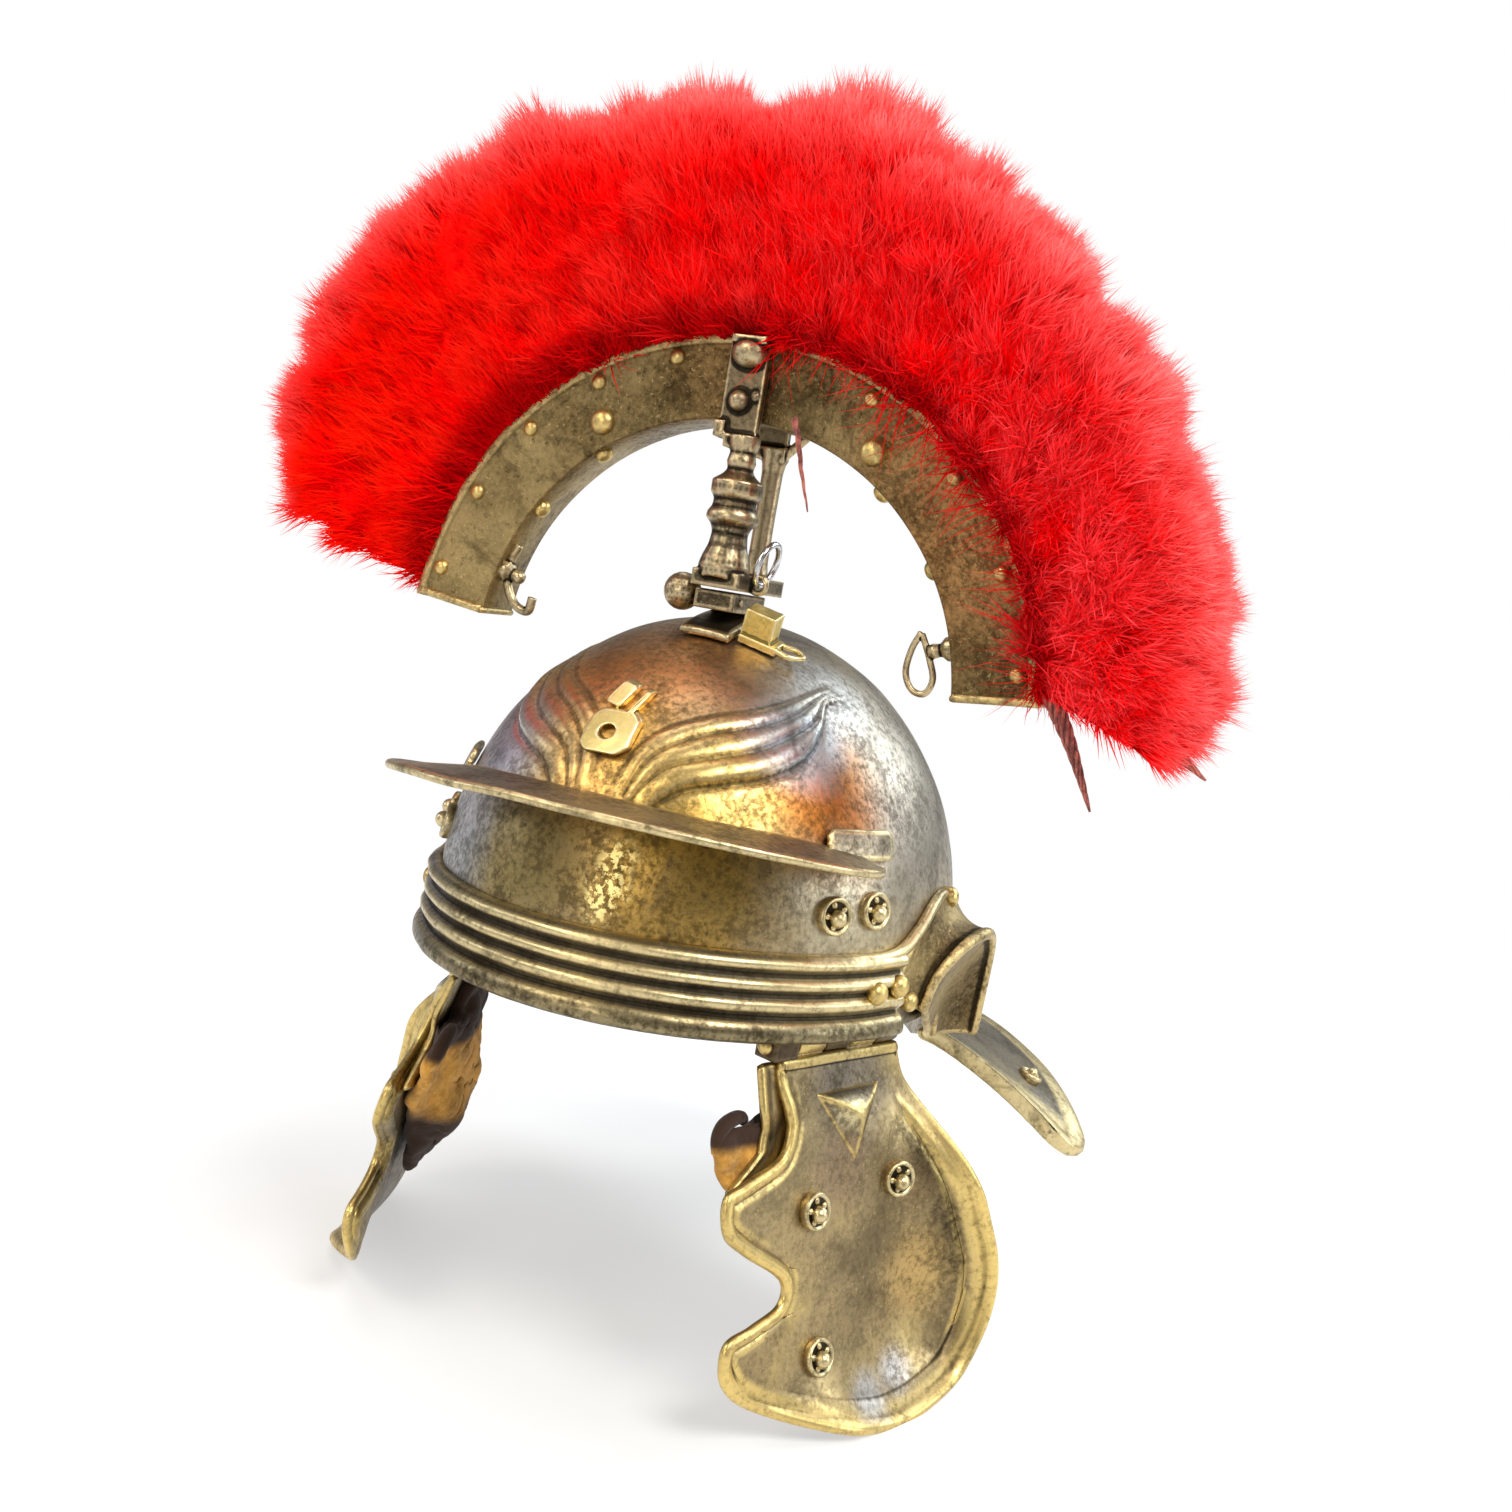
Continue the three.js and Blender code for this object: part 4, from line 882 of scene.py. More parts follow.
def outline_rows(table, steps):
    """Rows of an outline: smooth front and rear edges at levels that crowd at the tight places."""
    table = np.array(table)
    front = smooth_line(table[:, [0, 1]], 12)
    rear = smooth_line(table[:, [0, 2]], 12)
    front[:, 0] = np.maximum.accumulate(front[:, 0])
    rear[:, 0] = np.maximum.accumulate(rear[:, 0])
    below = evenly(front, steps)[:, 0]
    even = np.linspace(table[0, 0], table[-1, 0], steps)
    below = 0.5 * below + 0.5 * even
    return below, np.interp(below, front[:, 0], front[:, 1]), np.interp(below, rear[:, 0], rear[:, 1])


# Settings that a user may change


def a_colour(label, text, value):
    """A setting for a colour."""
    kind = {"subtype": "COLOR", "size": 3, "min": 0, "max": 1}
    return bpy.props.FloatVectorProperty(name=label, description=text, default=value, **kind)


def a_length(label, text, value):
    """A setting for a length in metres."""
    kind = {"subtype": "DISTANCE", "unit": "LENGTH", "min": 0, "precision": 6}
    return bpy.props.FloatProperty(name=label, description=text, default=value, **kind)


def a_number(label, text, value, **kind):
    """A setting for a number, plain unless it has a kind."""
    return bpy.props.FloatProperty(name=label, description=text, default=value, **kind)


def a_count(label, text, value):
    """A setting for a whole number."""
    return bpy.props.IntProperty(name=label, description=text, default=value, min=0)


class HelmetColours(bpy.types.PropertyGroup):
    """Colours of the metals, the suede and the fur."""

    brass_dark: a_colour("Brass patina", "Dark patina of the brass", (0.075, 0.055, 0.028))
    brass: a_colour("Brass", "Aged olive brass", (0.39, 0.29, 0.145))
    brass_bright: a_colour("Worn brass", "Brass on worn ridges", (0.84, 0.62, 0.21))
    box_dark: a_colour("Crest box patina", "Dark patina of the crest box", (0.05, 0.033, 0.013))
    box: a_colour("Crest box", "Brown brass of the crest box", (0.19, 0.128, 0.052))
    bowl_dark: a_colour("Bowl patina", "Dark patina of the bowl", (0.115, 0.088, 0.058))
    bowl: a_colour("Bowl", "Grey heat-tinted brass of the bowl", (0.44, 0.385, 0.29))
    bowl_bright: a_colour("Worn bowl", "Worn metal of the bowl", (0.6, 0.49, 0.27))
    gold: a_colour("Gold", "Bright gold fittings", (0.76, 0.58, 0.17))
    steel: a_colour("Steel", "Silver wire", (0.42, 0.41, 0.4))
    suede: a_colour("Suede", "Face of the suede lining", (0.68, 0.33, 0.06))
    # Dark suede goes along the lining's top, bottom and front edge, where the stored nap value is low.
    suede_dark: a_colour("Suede edge", "Dark rubbed suede", (0.04, 0.021, 0.013))
    suede_light: a_colour("Suede nap", "Pale nap of the suede", (0.85, 0.54, 0.15))
    # The fur's dark red is painted shade, laid on roots deep in the pile and near the box.
    fur_root: a_colour("Fur roots", "Fur deep in the pile", (0.5, 0.0004, 0.003))
    fur: a_colour("Fur", "Dyed red fur", (0.96, 0.0005, 0.0015))
    fur_warm: a_colour("Warm fur", "Orange-red strands", (1.0, 0.022, 0.004))
    fur_cool: a_colour("Cool fur", "Pink-red strands", (1.0, 0.085, 0.1))
    # Pale pink painted sheen on the tips at the outer edge.
    fur_tip: a_colour("Fur tips", "Pale tips at the outer edge", (1.0, 0.3, 0.29))
    wisp: a_colour("Wisps", "Faded hair of the loose locks", (0.5, 0.15, 0.11))
    wisp_dark: a_colour("Wisp shade", "Darker hair of the loose locks", (0.16, 0.03, 0.025))


class HelmetSizes(bpy.types.PropertyGroup):
    """Sizes of the relief on the metal."""

    eyebrow_relief: a_length("Eyebrow relief", "Height of the embossed eyebrows", 0.0005)
    dents: a_length("Dents", "Depth of the uneven hammering", 0.00011)
    guard_rim: a_length("Guard rim", "Height of the rim on the cheek guards", 0.00055)
    rivet: a_length("Rivet", "Radius of the small rivets of the crest box", 0.00056)
    rosette: a_length("Rosette", "Radius of the rosettes", 0.00125)


class HelmetFur(bpy.types.PropertyGroup):
    """Fur of the crest."""

    strands: a_count("Strands", "Strands in each of the four parts of the fur", 63000)
    length: a_length("Length", "Free length of a strand", 0.0030)
    width: a_length("Width", "Radius of a strand at its root", 0.00007)
    frizz: a_number("Frizz", "How much tufts lean away from the pile", 1.0)
    stray: a_number("Stray", "How much single strands lean away", 0.32)
    tuft: a_number("Tufts", "How much strands gather into tufts", 0.62)
    seed: a_count("Seed", "Seed of the fur", 7)


class HelmetStage(bpy.types.PropertyGroup):
    """Floor, lights and camera."""

    floor: a_colour("Floor", "Colour of the floor", (0.86, 0.86, 0.855))
    key: a_number("Key light", "Power of the key light", 1.5, subtype="POWER", unit="POWER")
    lens: a_number("Lens", "Focal length of the camera in millimetres", 37.74)


# Geometry Nodes


def add_socket(tree, name, kind, way="INPUT"):
    """Adds a named socket to a tree and returns its identifier."""
    return tree.interface.new_socket(name=name, in_out=way, socket_type=kind).identifier


def stud_tree(material):
    """A tree that stands a copy of one stud on each point, by its facing and its size."""
    tree = bpy.data.node_groups.new("studs on points", "GeometryNodeTree")
    add = functools.partial(link_nodes, tree)
    add_socket(tree, "Points", "NodeSocketGeometry")
    stud_key = add_socket(tree, "Stud", "NodeSocketObject")
    add_socket(tree, "Studs", "NodeSocketGeometry", "OUTPUT")
    start = tree.nodes.new("NodeGroupInput").outputs
    end = tree.nodes.new("NodeGroupOutput")
    stud = add("GeometryNodeObjectInfo", {"Object": start["Stud"]})
    facing = add("GeometryNodeInputNamedAttribute", {"Name": "facing"}, data_type="FLOAT_VECTOR")
    size = add("GeometryNodeInputNamedAttribute", {"Name": "size"}, data_type="FLOAT")
    turn = add("FunctionNodeAlignRotationToVector", {"Vector": facing.outputs["Attribute"]}, axis="Z")
    values = {"Points": start["Points"], "Instance": stud.outputs["Geometry"]}
    values.update({"Rotation": turn.outputs["Rotation"], "Scale": size.outputs["Attribute"]})
    copies = add("GeometryNodeInstanceOnPoints", values)
    real = add("GeometryNodeRealizeInstances", {"Geometry": copies.outputs["Instances"]})
    dressed = add("GeometryNodeSetMaterial", {"Geometry": real.outputs["Geometry"], "Material": material})
    tree.links.new(dressed.outputs["Geometry"], end.inputs["Studs"])
    return tree, stud_key


def add_studs(name, places, stud_part, finish, nodes=(), body="shell"):
    """Sets copies of a stud at places, each a point, a facing and a size."""
    template = placed("stud", raw_mesh("stud", stud_part))
    points, facings, widths = zip(*places)
    mesh = raw_mesh(name, (np.array(points), []))
    facing = mesh.attributes.new("facing", "FLOAT_VECTOR", "POINT")
    facing.data.foreach_set("vector", np.array(facings, np.float32).ravel())
    paint(mesh, "size", widths)
    piece = placed(name, mesh)
    tree, stud_key = stud_tree(FINISHES[finish])
    modifier = piece.modifiers.new("studs", "NODES")
    modifier.node_group = tree
    modifier[stud_key] = template
    plain_mesh(piece)
    bpy.data.objects.remove(template)
    bpy.data.node_groups.remove(tree)
    return finish_piece(piece, finish, nodes, body)


def fur_tree(material):
    """A tree that grows tapered strands from a skin, leaning out from the middle of the crest."""
    tree = bpy.data.node_groups.new("fur on skin", "GeometryNodeTree")
    add = functools.partial(link_nodes, tree)
    add_socket(tree, "Skin", "NodeSocketGeometry")
    names = {}
    for label in ("Density", "Length", "Width", "Lean", "Outward", "Frizz", "Stray", "Tuft"):
        names[label.lower()] = add_socket(tree, label, "NodeSocketFloat")
    names["seed"] = add_socket(tree, "Seed", "NodeSocketInt")
    add_socket(tree, "Fur", "NodeSocketGeometry", "OUTPUT")
    start = tree.nodes.new("NodeGroupInput").outputs
    end = tree.nodes.new("NodeGroupOutput")

    def vector(how, a, b=None):
        values = {0: a} if b is None else {0: a, 1: b}
        return add("ShaderNodeVectorMath", values, operation=how).outputs["Vector"]

    def times(a, scale):
        return add("ShaderNodeVectorMath", {0: a, "Scale": scale}, operation="SCALE").outputs["Vector"]

    def number(how, a, b):
        return add("ShaderNodeMath", {0: a, 1: b}, operation=how).outputs["Value"]

    def chance(low, high, offset, kind="FLOAT"):
        values = {"Seed": number("ADD", start["Seed"], offset)}
        made = add("FunctionNodeRandomValue", values, data_type=kind)
        slots = [s for s in made.inputs if s.name in ("Min", "Max") and s.enabled]
        slots[0].default_value, slots[1].default_value = low, high
        return next(s for s in made.outputs if s.enabled)

    def stored(geometry, name, value, domain):
        values = {"Geometry": geometry, "Name": name}
        made = add("GeometryNodeStoreNamedAttribute", values, data_type="FLOAT", domain=domain)
        tree.links.new(value, next(s for s in made.inputs if s.name == "Value" and s.enabled))
        return made.outputs["Geometry"]

    skin = {"Mesh": start["Skin"], "Density": start["Density"], "Seed": start["Seed"]}
    grown = add("GeometryNodeDistributePointsOnFaces", skin, distribute_method="RANDOM")
    place = tree.nodes.new("GeometryNodeInputPosition").outputs["Position"]
    flat = vector("MULTIPLY", place, (1.0, 0.0, 1.0))
    outward = vector("NORMALIZE", vector("SUBTRACT", flat, (0.0, 0.0, CREST_CENTRE_Z * MM)))
    tuft = add("ShaderNodeTexNoise", {"Vector": place, "Scale": 330.0, "Detail": 2.5})
    tuft_way = vector("SUBTRACT", tuft.outputs["Color"], (0.5, 0.5, 0.5))
    way = times(outward, start["Lean"])
    way = vector("ADD", way, times(grown.outputs["Normal"], start["Outward"]))
    way = vector("ADD", way, times(tuft_way, start["Frizz"]))
    warp = vector("ADD", place, times(tuft_way, 0.0016))
    tufts = add("ShaderNodeTexVoronoi", {"Vector": warp, "Scale": 420.0}).outputs
    cell = tufts["Position"]
    lot = add("ShaderNodeSeparateXYZ", {0: tufts["Color"]}).outputs
    gather = number("DIVIDE", start["Tuft"], start["Length"])
    way = vector("ADD", way, times(vector("SUBTRACT", cell, place), gather))
    single = chance((-1.0, -1.0, -1.0), (1.0, 1.0, 1.0), 11, "FLOAT_VECTOR")
    way = vector("ADD", way, times(single, start["Stray"]))
    turn = add("FunctionNodeAlignRotationToVector", {"Vector": way}, axis="Z").outputs["Rotation"]
    spin = add("FunctionNodeAxisAngleToRotation", {"Axis": (0.0, 0.0, 1.0), "Angle": chance(0.0, 6.28, 23)})
    turned = {"Rotation": turn, "Rotate By": spin.outputs["Rotation"]}
    turn = add("FunctionNodeRotateRotation", turned, rotation_space="LOCAL").outputs["Rotation"]
    wide = number("MULTIPLY", start["Width"], 2.0)
    flat_strand = {"Size X": wide, "Size Y": start["Length"], "Vertices X": 2, "Vertices Y": 3}
    strand = add("GeometryNodeMeshGrid", flat_strand).outputs["Mesh"]
    parts = add("ShaderNodeSeparateXYZ", {0: place}).outputs
    share = number("ADD", number("DIVIDE", parts["Y"], start["Length"]), 0.5)
    square = number("MULTIPLY", share, share)
    marked = stored(strand, "tip", share, "POINT")
    narrow = number("MULTIPLY", parts["X"], number("SUBTRACT", 1.0, square))
    bow = number("MULTIPLY", square, number("MULTIPLY", start["Length"], 0.3))
    stood = {"X": narrow, "Y": bow, "Z": number("MULTIPLY", share, start["Length"])}
    stood = add("ShaderNodeCombineXYZ", stood).outputs[0]
    curl = add("GeometryNodeSetPosition", {"Geometry": marked, "Position": stood}).outputs["Geometry"]
    curl = add("GeometryNodeMergeByDistance", {"Geometry": curl, "Distance": 1e-7}).outputs["Geometry"]
    lumps = add("ShaderNodeTexNoise", {"Vector": place, "Scale": 210.0, "Detail": 3.0}).outputs["Fac"]
    values = {"Value": lumps, "From Min": 0.3, "From Max": 0.72, "To Min": 0.62, "To Max": 1.3}
    tall = add("ShaderNodeMapRange", values)
    scale = number("MULTIPLY", tall.outputs["Result"], chance(0.65, 1.12, 37))
    scale = number("MULTIPLY", scale, number("ADD", 0.75, number("MULTIPLY", lot["Y"], 0.5)))
    values = {"Points": grown.outputs["Points"], "Instance": curl, "Rotation": turn, "Scale": scale}
    copies = add("GeometryNodeInstanceOnPoints", values).outputs["Instances"]
    own = number("ADD", chance(0.0, 0.55, 51), number("MULTIPLY", lot["X"], 0.45))
    toned = stored(copies, "tone", own, "INSTANCE")
    real = add("GeometryNodeRealizeInstances", {"Geometry": toned}).outputs["Geometry"]
    dressed = add("GeometryNodeSetMaterial", {"Geometry": real, "Material": material})
    tree.links.new(dressed.outputs["Geometry"], end.inputs["Fur"])
    return tree, names


def grow_fur(name, grid, finish, values):
    """Grows strands from a grid of points."""
    mesh = raw_mesh(name, (grid.reshape(-1, 3), grid_faces(*grid.shape[:2])))
    mesh.shade_smooth()
    piece = placed(name, mesh)
    tree, names = fur_tree(FINISHES[finish])
    modifier = piece.modifiers.new("fur", "NODES")
    modifier.node_group = tree
    area = sum(face.area for face in mesh.polygons)
    for key, value in values.items():
        if key != "strands":
            modifier[names[key]] = value
    modifier[names["density"]] = values["strands"] / area
    plain_mesh(piece)
    bpy.data.node_groups.remove(tree)
    mark_rim(piece.data)
    return finish_piece(piece, finish, wear=False)


def mark_rim(mesh):
    """Stores how near each strand is to the outer edge of the plume."""
    co = places_of(mesh)
    radius = np.hypot(co[:, 0], co[:, 2] - CREST_CENTRE_Z)
    angle = np.degrees(np.arctan2(co[:, 0], co[:, 2] - CREST_CENTRE_Z))
    table = np.array(PLUME_OUTLINE)
    tips = np.interp(angle, table[:, 0], table[:, 1])
    paint(mesh, "rim", np.clip((radius - CREST_OUTER) / (tips - CREST_OUTER), 0, 1.2))


# The pieces, and an operator for each group of them


class HELMET_OT_finishes(bpy.types.Operator):
    """Make the metals, the suede and the fur"""

    bl_idname = "helmet.finishes"
    bl_label = "Finishes"

    def execute(self, context):
        colours = context.scene.helmet_colours
        dark, base, bright = (tuple(c) for c in (colours.brass_dark, colours.brass, colours.brass_bright))
        copper, amber, violet = (0.58, 0.29, 0.095), (0.4, 0.16, 0.035), (0.6, 0.55, 0.6)
        gold, grey, olive = (0.7, 0.48, 0.13), (0.52, 0.46, 0.36), (0.36, 0.22, 0.045)
        # Tints of the bowl: heat patina mixed with painted reflections and painted shade, which stand in
        # for the light on the metal.
        bowl_patina_and_painted_light = (
            # Copper, orange, gold and amber on the brow and front: partly heat patina, partly painted
            # reflection of warm light from the front
            ((-2.0, -12.0, 20.5), 10.0, copper, 0.85),
            ((-0.5, -17.8, 14.6), 7.0, (0.6, 0.34, 0.08), 0.8),
            ((6.5, -16.0, 14.0), 7.0, gold, 0.85),
            ((11.5, -10.6, 14.2), 6.2, amber, 1.0),
            ((8.0, -12.0, 18.0), 3.0, copper, 0.7),
            # Olive under the peak: partly patina, partly painted shade of the peak
            ((6.0, -19.0, 8.0), 9.5, olive, 0.92),
            ((-4.5, -20.0, 8.0), 6.0, (0.3, 0.22, 0.08), 0.9),
            # Painted reflections: grey under the peak, a blue-silver highlight and grey sheen near the
            # crown, violet and grey on the sides
            ((-11.0, -15.5, 7.5), 6.0, (0.34, 0.34, 0.34), 0.9),
            ((9.6, -11.4, 18.4), 4.2, (0.54, 0.66, 0.76), 0.85),
            ((9.0, -6.0, 21.0), 5.0, (0.5, 0.5, 0.48), 0.6),
            ((-10.5, -14.5, 13.5), 6.5, violet, 0.9),
            ((15.0, -2.0, 14.0), 8.0, grey, 0.7),
            # Painted shadow on the bowl by the rear of the left hinge
            ((17.4, 0.0, 0.0), 6.0, (0.05, 0.04, 0.025), 0.95),
        )
        # Painted reflection: a glittering strip on the bowl's front under the peak.
        painted_reflection_glints = (((2.6, -20.3, 9.8), 1.5), ((2.4, -20.6, 8.0), 1.7), ((2.2, -20.7, 6.6), 1.3))
        bowl = (tuple(c) for c in (colours.bowl_dark, colours.bowl, colours.bowl_bright))
        FINISHES["bowl"] = aged_metal(
            "bowl_patina", *bowl, (0.3, 0.5), bowl_patina_and_painted_light, 0.04, 0.25, 0.85, painted_reflection_glints, 0.55
        )
        # Tints of the cheek guards, some of them painted light
        guard_tints_and_painted_light = (
            # Darker, greyer top of the plate
            ((8.0, 2.8, 1.0), 5.5, (0.14, 0.12, 0.1), 0.8),
            # Painted highlight: a blue-white sheen low in the dish
            ((9.3, 23.6, 2.6), 2.4, (0.5, 0.5, 0.53), 0.65),
            ((12.6, 22.4, 3.0), 2.2, (0.5, 0.5, 0.53), 0.65),
            # Golden orange near the rear flange
            ((14.6, 16.8, 2.6), 4.0, (0.5, 0.33, 0.12), 0.7),
            # Painted shade inside the upper rear flange
            ((14.0, 9.6, 1.8), 3.0, (0.16, 0.1, 0.055), 0.6),
            ((7.0, 8.5, 1.0), 3.5, (0.2, 0.13, 0.09), 0.6),
            # Painted highlight on the lit faces of the boss
            ((6.9, 4.6, 2.2), 1.9, (0.62, 0.53, 0.3), 0.85),
        )
        guard_tints_and_painted_light_patches = []
        for (along, below, out), radius, tint, amount in guard_tints_and_painted_light:
            at = guard_point(along, below, out)
            guard_tints_and_painted_light_patches.append((at, radius, tint, amount))
            guard_tints_and_painted_light_patches.append((at * [-1, 1, 1], radius, tint, amount))
        FINISHES["brass"] = aged_metal("aged_brass", dark, base, bright, patches=guard_tints_and_painted_light_patches, mottled=0.5)
        worn = (scaled(dark, 0.9), (0.32, 0.275, 0.2), (0.74, 0.6, 0.31))
        # Painted reflections of cool light on one side of the brow band and on the same end of the peak
        cool_painted_reflections = (
            ((-14.0, -12.0, 3.0), 9.0, (0.4, 0.39, 0.42), 0.7),
            ((-18.0, -17.0, 10.5), 7.0, (0.55, 0.53, 0.5), 0.8),
        )
        FINISHES["worn"] = aged_metal("worn_brass", *worn, (0.3, 0.5), cool_painted_reflections, 0.03, 0.75, 0.85)
        iron = ((0.03, 0.024, 0.017), (0.2, 0.15, 0.086), (0.64, 0.51, 0.3))
        FINISHES["iron"] = aged_metal("dark_iron", *iron, (0.3, 0.46), (), 0.035, 0.7, 0.8)
        # Painted shade: a darker copy of the iron for the hinge strip, which sits in shade under the brow
        # band.
        hinge = ((0.02, 0.015, 0.01), (0.08, 0.055, 0.03), (0.17, 0.12, 0.065))
        FINISHES["hinge"] = aged_metal("hinge_iron", *hinge, (0.34, 0.5), (), 0.035, 0.45, 0.8)
        box_patches = (
            ((15.0, -7.0, 32.0), 10.0, (0.46, 0.24, 0.09), 0.75),
            ((-1.0, -7.0, 41.0), 6.5, (0.2, 0.11, 0.04), 0.7),
        )
        box = (tuple(colours.box_dark), tuple(colours.box), (0.7, 0.53, 0.24))
        FINISHES["box"] = aged_metal("crest_brass", *box, (0.32, 0.52), box_patches, 0.13, 0.8, 1.0)
        gold = (scaled(colours.gold, 0.5), tuple(colours.gold), (0.97, 0.82, 0.5))
        FINISHES["gold"] = aged_metal("bright_brass", *gold, (0.3, 0.45), (), 0.012)
        steel = (scaled(colours.steel, 0.4), tuple(colours.steel), (0.85, 0.85, 0.87))
        FINISHES["steel"] = aged_metal("silver_wire", *steel, (0.18, 0.3))
        FINISHES["suede"] = suede(colours)
        FINISHES["core"] = fur("fur_pile", colours, strand=False)
        FINISHES["fur"] = fur("fur_strands", colours, strand=True)
        FINISHES["wisp"] = wisp_hair(colours)
        return {"FINISHED"}


def eyebrow_height(points, relief):
    """Height of the embossed eyebrows at points on the front of the bowl."""
    lanes = np.array([evenly(smooth_line(groove, 14), 90) for groove in EYEBROW_GROOVES])
    across = np.linspace(-0.3, 1.3, 80)
    places, heights = [], []
    along = np.linspace(0, 1, lanes.shape[1])
    taper = ease(along, -0.15, 0.35) * (1 - 0.75 * ease(along, 0.8, 1.0))
    for share in across:
        lane = share * (len(lanes) - 1)
        low = int(np.clip(math.floor(lane), 0, len(lanes) - 2))
        places.append(lanes[low] + (lane - low) * (lanes[low + 1] - lanes[low]))
        if share < 0:
            height = -0.3 * math.exp(-((share / 0.07) ** 2))
        elif share > 1:
            height = 0.12 * math.exp(-(((share - 1) / 0.12) ** 2))
        else:
            ridge = lane - math.floor(lane)
            height = (
                0.1 + 0.9 * math.sin(math.pi * min(max(ridge, 0.0), 1.0)) ** 0.45
            ) * (1.0 - 0.3 * share)
            height = height if share > 0.02 else -0.3
        heights.append(height * taper)
    places, heights = np.array(places).reshape(-1, 2), np.array(heights).ravel()
    tree = flat_tree(places)
    out = np.zeros(len(points))
    near = (points[:, 1] < 0) & (points[:, 2] > 11.5) & (points[:, 2] < 22.5) & (np.abs(points[:, 0]) < 12)
    for i in np.nonzero(near)[0]:
        found = tree.find_n((abs(points[i, 0]), points[i, 2], 0.0), 4)
        weights = [1.0 / (gap + 0.02) for _, _, gap in found]
        height = sum(w * heights[k] for w, (_, k, _) in zip(weights, found)) / sum(weights)
        out[i] = height * (1 - float(ease(found[0][2], 0.05, 0.6)))
    return out * relief


class HELMET_OT_bowl(bpy.types.Operator):
    """Raise the bowl with its embossed eyebrows"""

    bl_idname = "helmet.bowl"
    bl_label = "Bowl"

    def execute(self, context):
        sizes = context.scene.helmet_sizes
        front = np.radians(np.linspace(-70, 70, 300, endpoint=False))
        rear = np.radians(np.linspace(70, 290, 96, endpoint=False))
        angle = np.concatenate([front, rear])
        turn = np.degrees(np.minimum(angle % (2 * math.pi), 2 * math.pi - angle % (2 * math.pi)))
        low = -NAPE_DROP * ease(turn, *NAPE_ANGLES)

        def shell(lift, straight_rows, dome_rows):
            straight = np.linspace(0, 1, straight_rows, endpoint=False)
            level = low[:, None] + (BOWL_STRAIGHT - low[:, None]) * straight
            rise = np.sin(np.linspace(0, math.pi / 2, dome_rows))
            dome = BOWL_STRAIGHT + (DOME_HEIGHT + lift) * rise
            level = np.concatenate([level, np.broadcast_to(dome, (len(angle), dome_rows))], 1)
            return bowl_point(angle[:, None], level, lift)

        outer = shell(0.0, 10, 176)
        flat = outer.reshape(-1, 3)
        lift = eyebrow_height(flat, sizes.eyebrow_relief / MM) + waver(flat, 5.0, sizes.dents / MM, 3.0)
        lift *= np.minimum(1, (BOWL_HEIGHT - flat[:, 2]) / 2.0)
        outer = (flat + bowl_normal(flat) * lift[:, None]).reshape(outer.shape)
        inner = shell(-BOWL_WALL, 4, 14)
        columns, rows, inner_rows = len(angle), outer.shape[1], inner.shape[1]
        start = columns * rows
        faces = grid_faces(columns, rows, ring=True)
        faces += [quad[::-1] for quad in grid_faces(columns, inner_rows, ring=True, start=start)]
        i = np.arange(columns)
        k = (i + 1) % columns
        rim = np.stack([i * rows, start + i * inner_rows, start + k * inner_rows, k * rows], -1)
        faces += rim.tolist()
        part = (np.vstack([outer.reshape(-1, 3), inner.reshape(-1, 3)]), faces)
        add_piece("bowl_shell", part, "bowl", ["bowl"])
        return {"FINISHED"}


def make_brow_band():
    """Three rounded ridges over a thicker foot, with rivets at both ends."""
    face = smooth_line(BAND_RIDGES, 4)
    profile = np.vstack([[0.05, 0.0], face, [0.05, BAND_HEIGHT]])
    end = math.radians(BAND_END_ANGLE)
    angle = np.linspace(-end, end, 300)
    shrink = 0.25 + 0.75 * np.minimum(1, (end - np.abs(angle)) / 0.03 + 0.2)
    lift = profile[None, :, 0] * np.clip(shrink, 0, 1)[:, None]
    sections = bowl_point(angle[:, None], profile[None, :, 1] + 0 * angle[:, None], lift)
    dents = waver(sections, 2.2, 0.06, 5.0)
    sections = sections + bowl_normal(sections) * dents[..., None]
    studs = []
    for side in (-1, 1):
        for degrees, level in ((65, 3.0), (71, 3.3)):
            at = bowl_point(side * math.radians(degrees), level, 1.0)
            studs.append((at, bowl_normal(at), 0.75))
    parts = [loft(sections)]
    line = evenly(smooth_line(BAND_SWEEP, 8), 60)
    thick = 0.42 * np.sin(np.linspace(0.5, 2.7, 60)) ** 0.5
    for side in (-1, 1):
        parts.append(mirrored(tube(bowl_side(line[:, 0], line[:, 1], 0.3), thick, 10), side))
    piece = add_piece("brow_band_ridges", joined(*parts), "worn", ["brow_band"])
    # The lowest part of the band is painted darker, through the same stored value as the painted shade.
    paint(piece.data, "dim", 0.85 * (1 - ease(places_of(piece.data)[:, 2], 0.9, 1.5)))
    add_studs("brow_band_rivets", studs, rivet_part(), "brass")


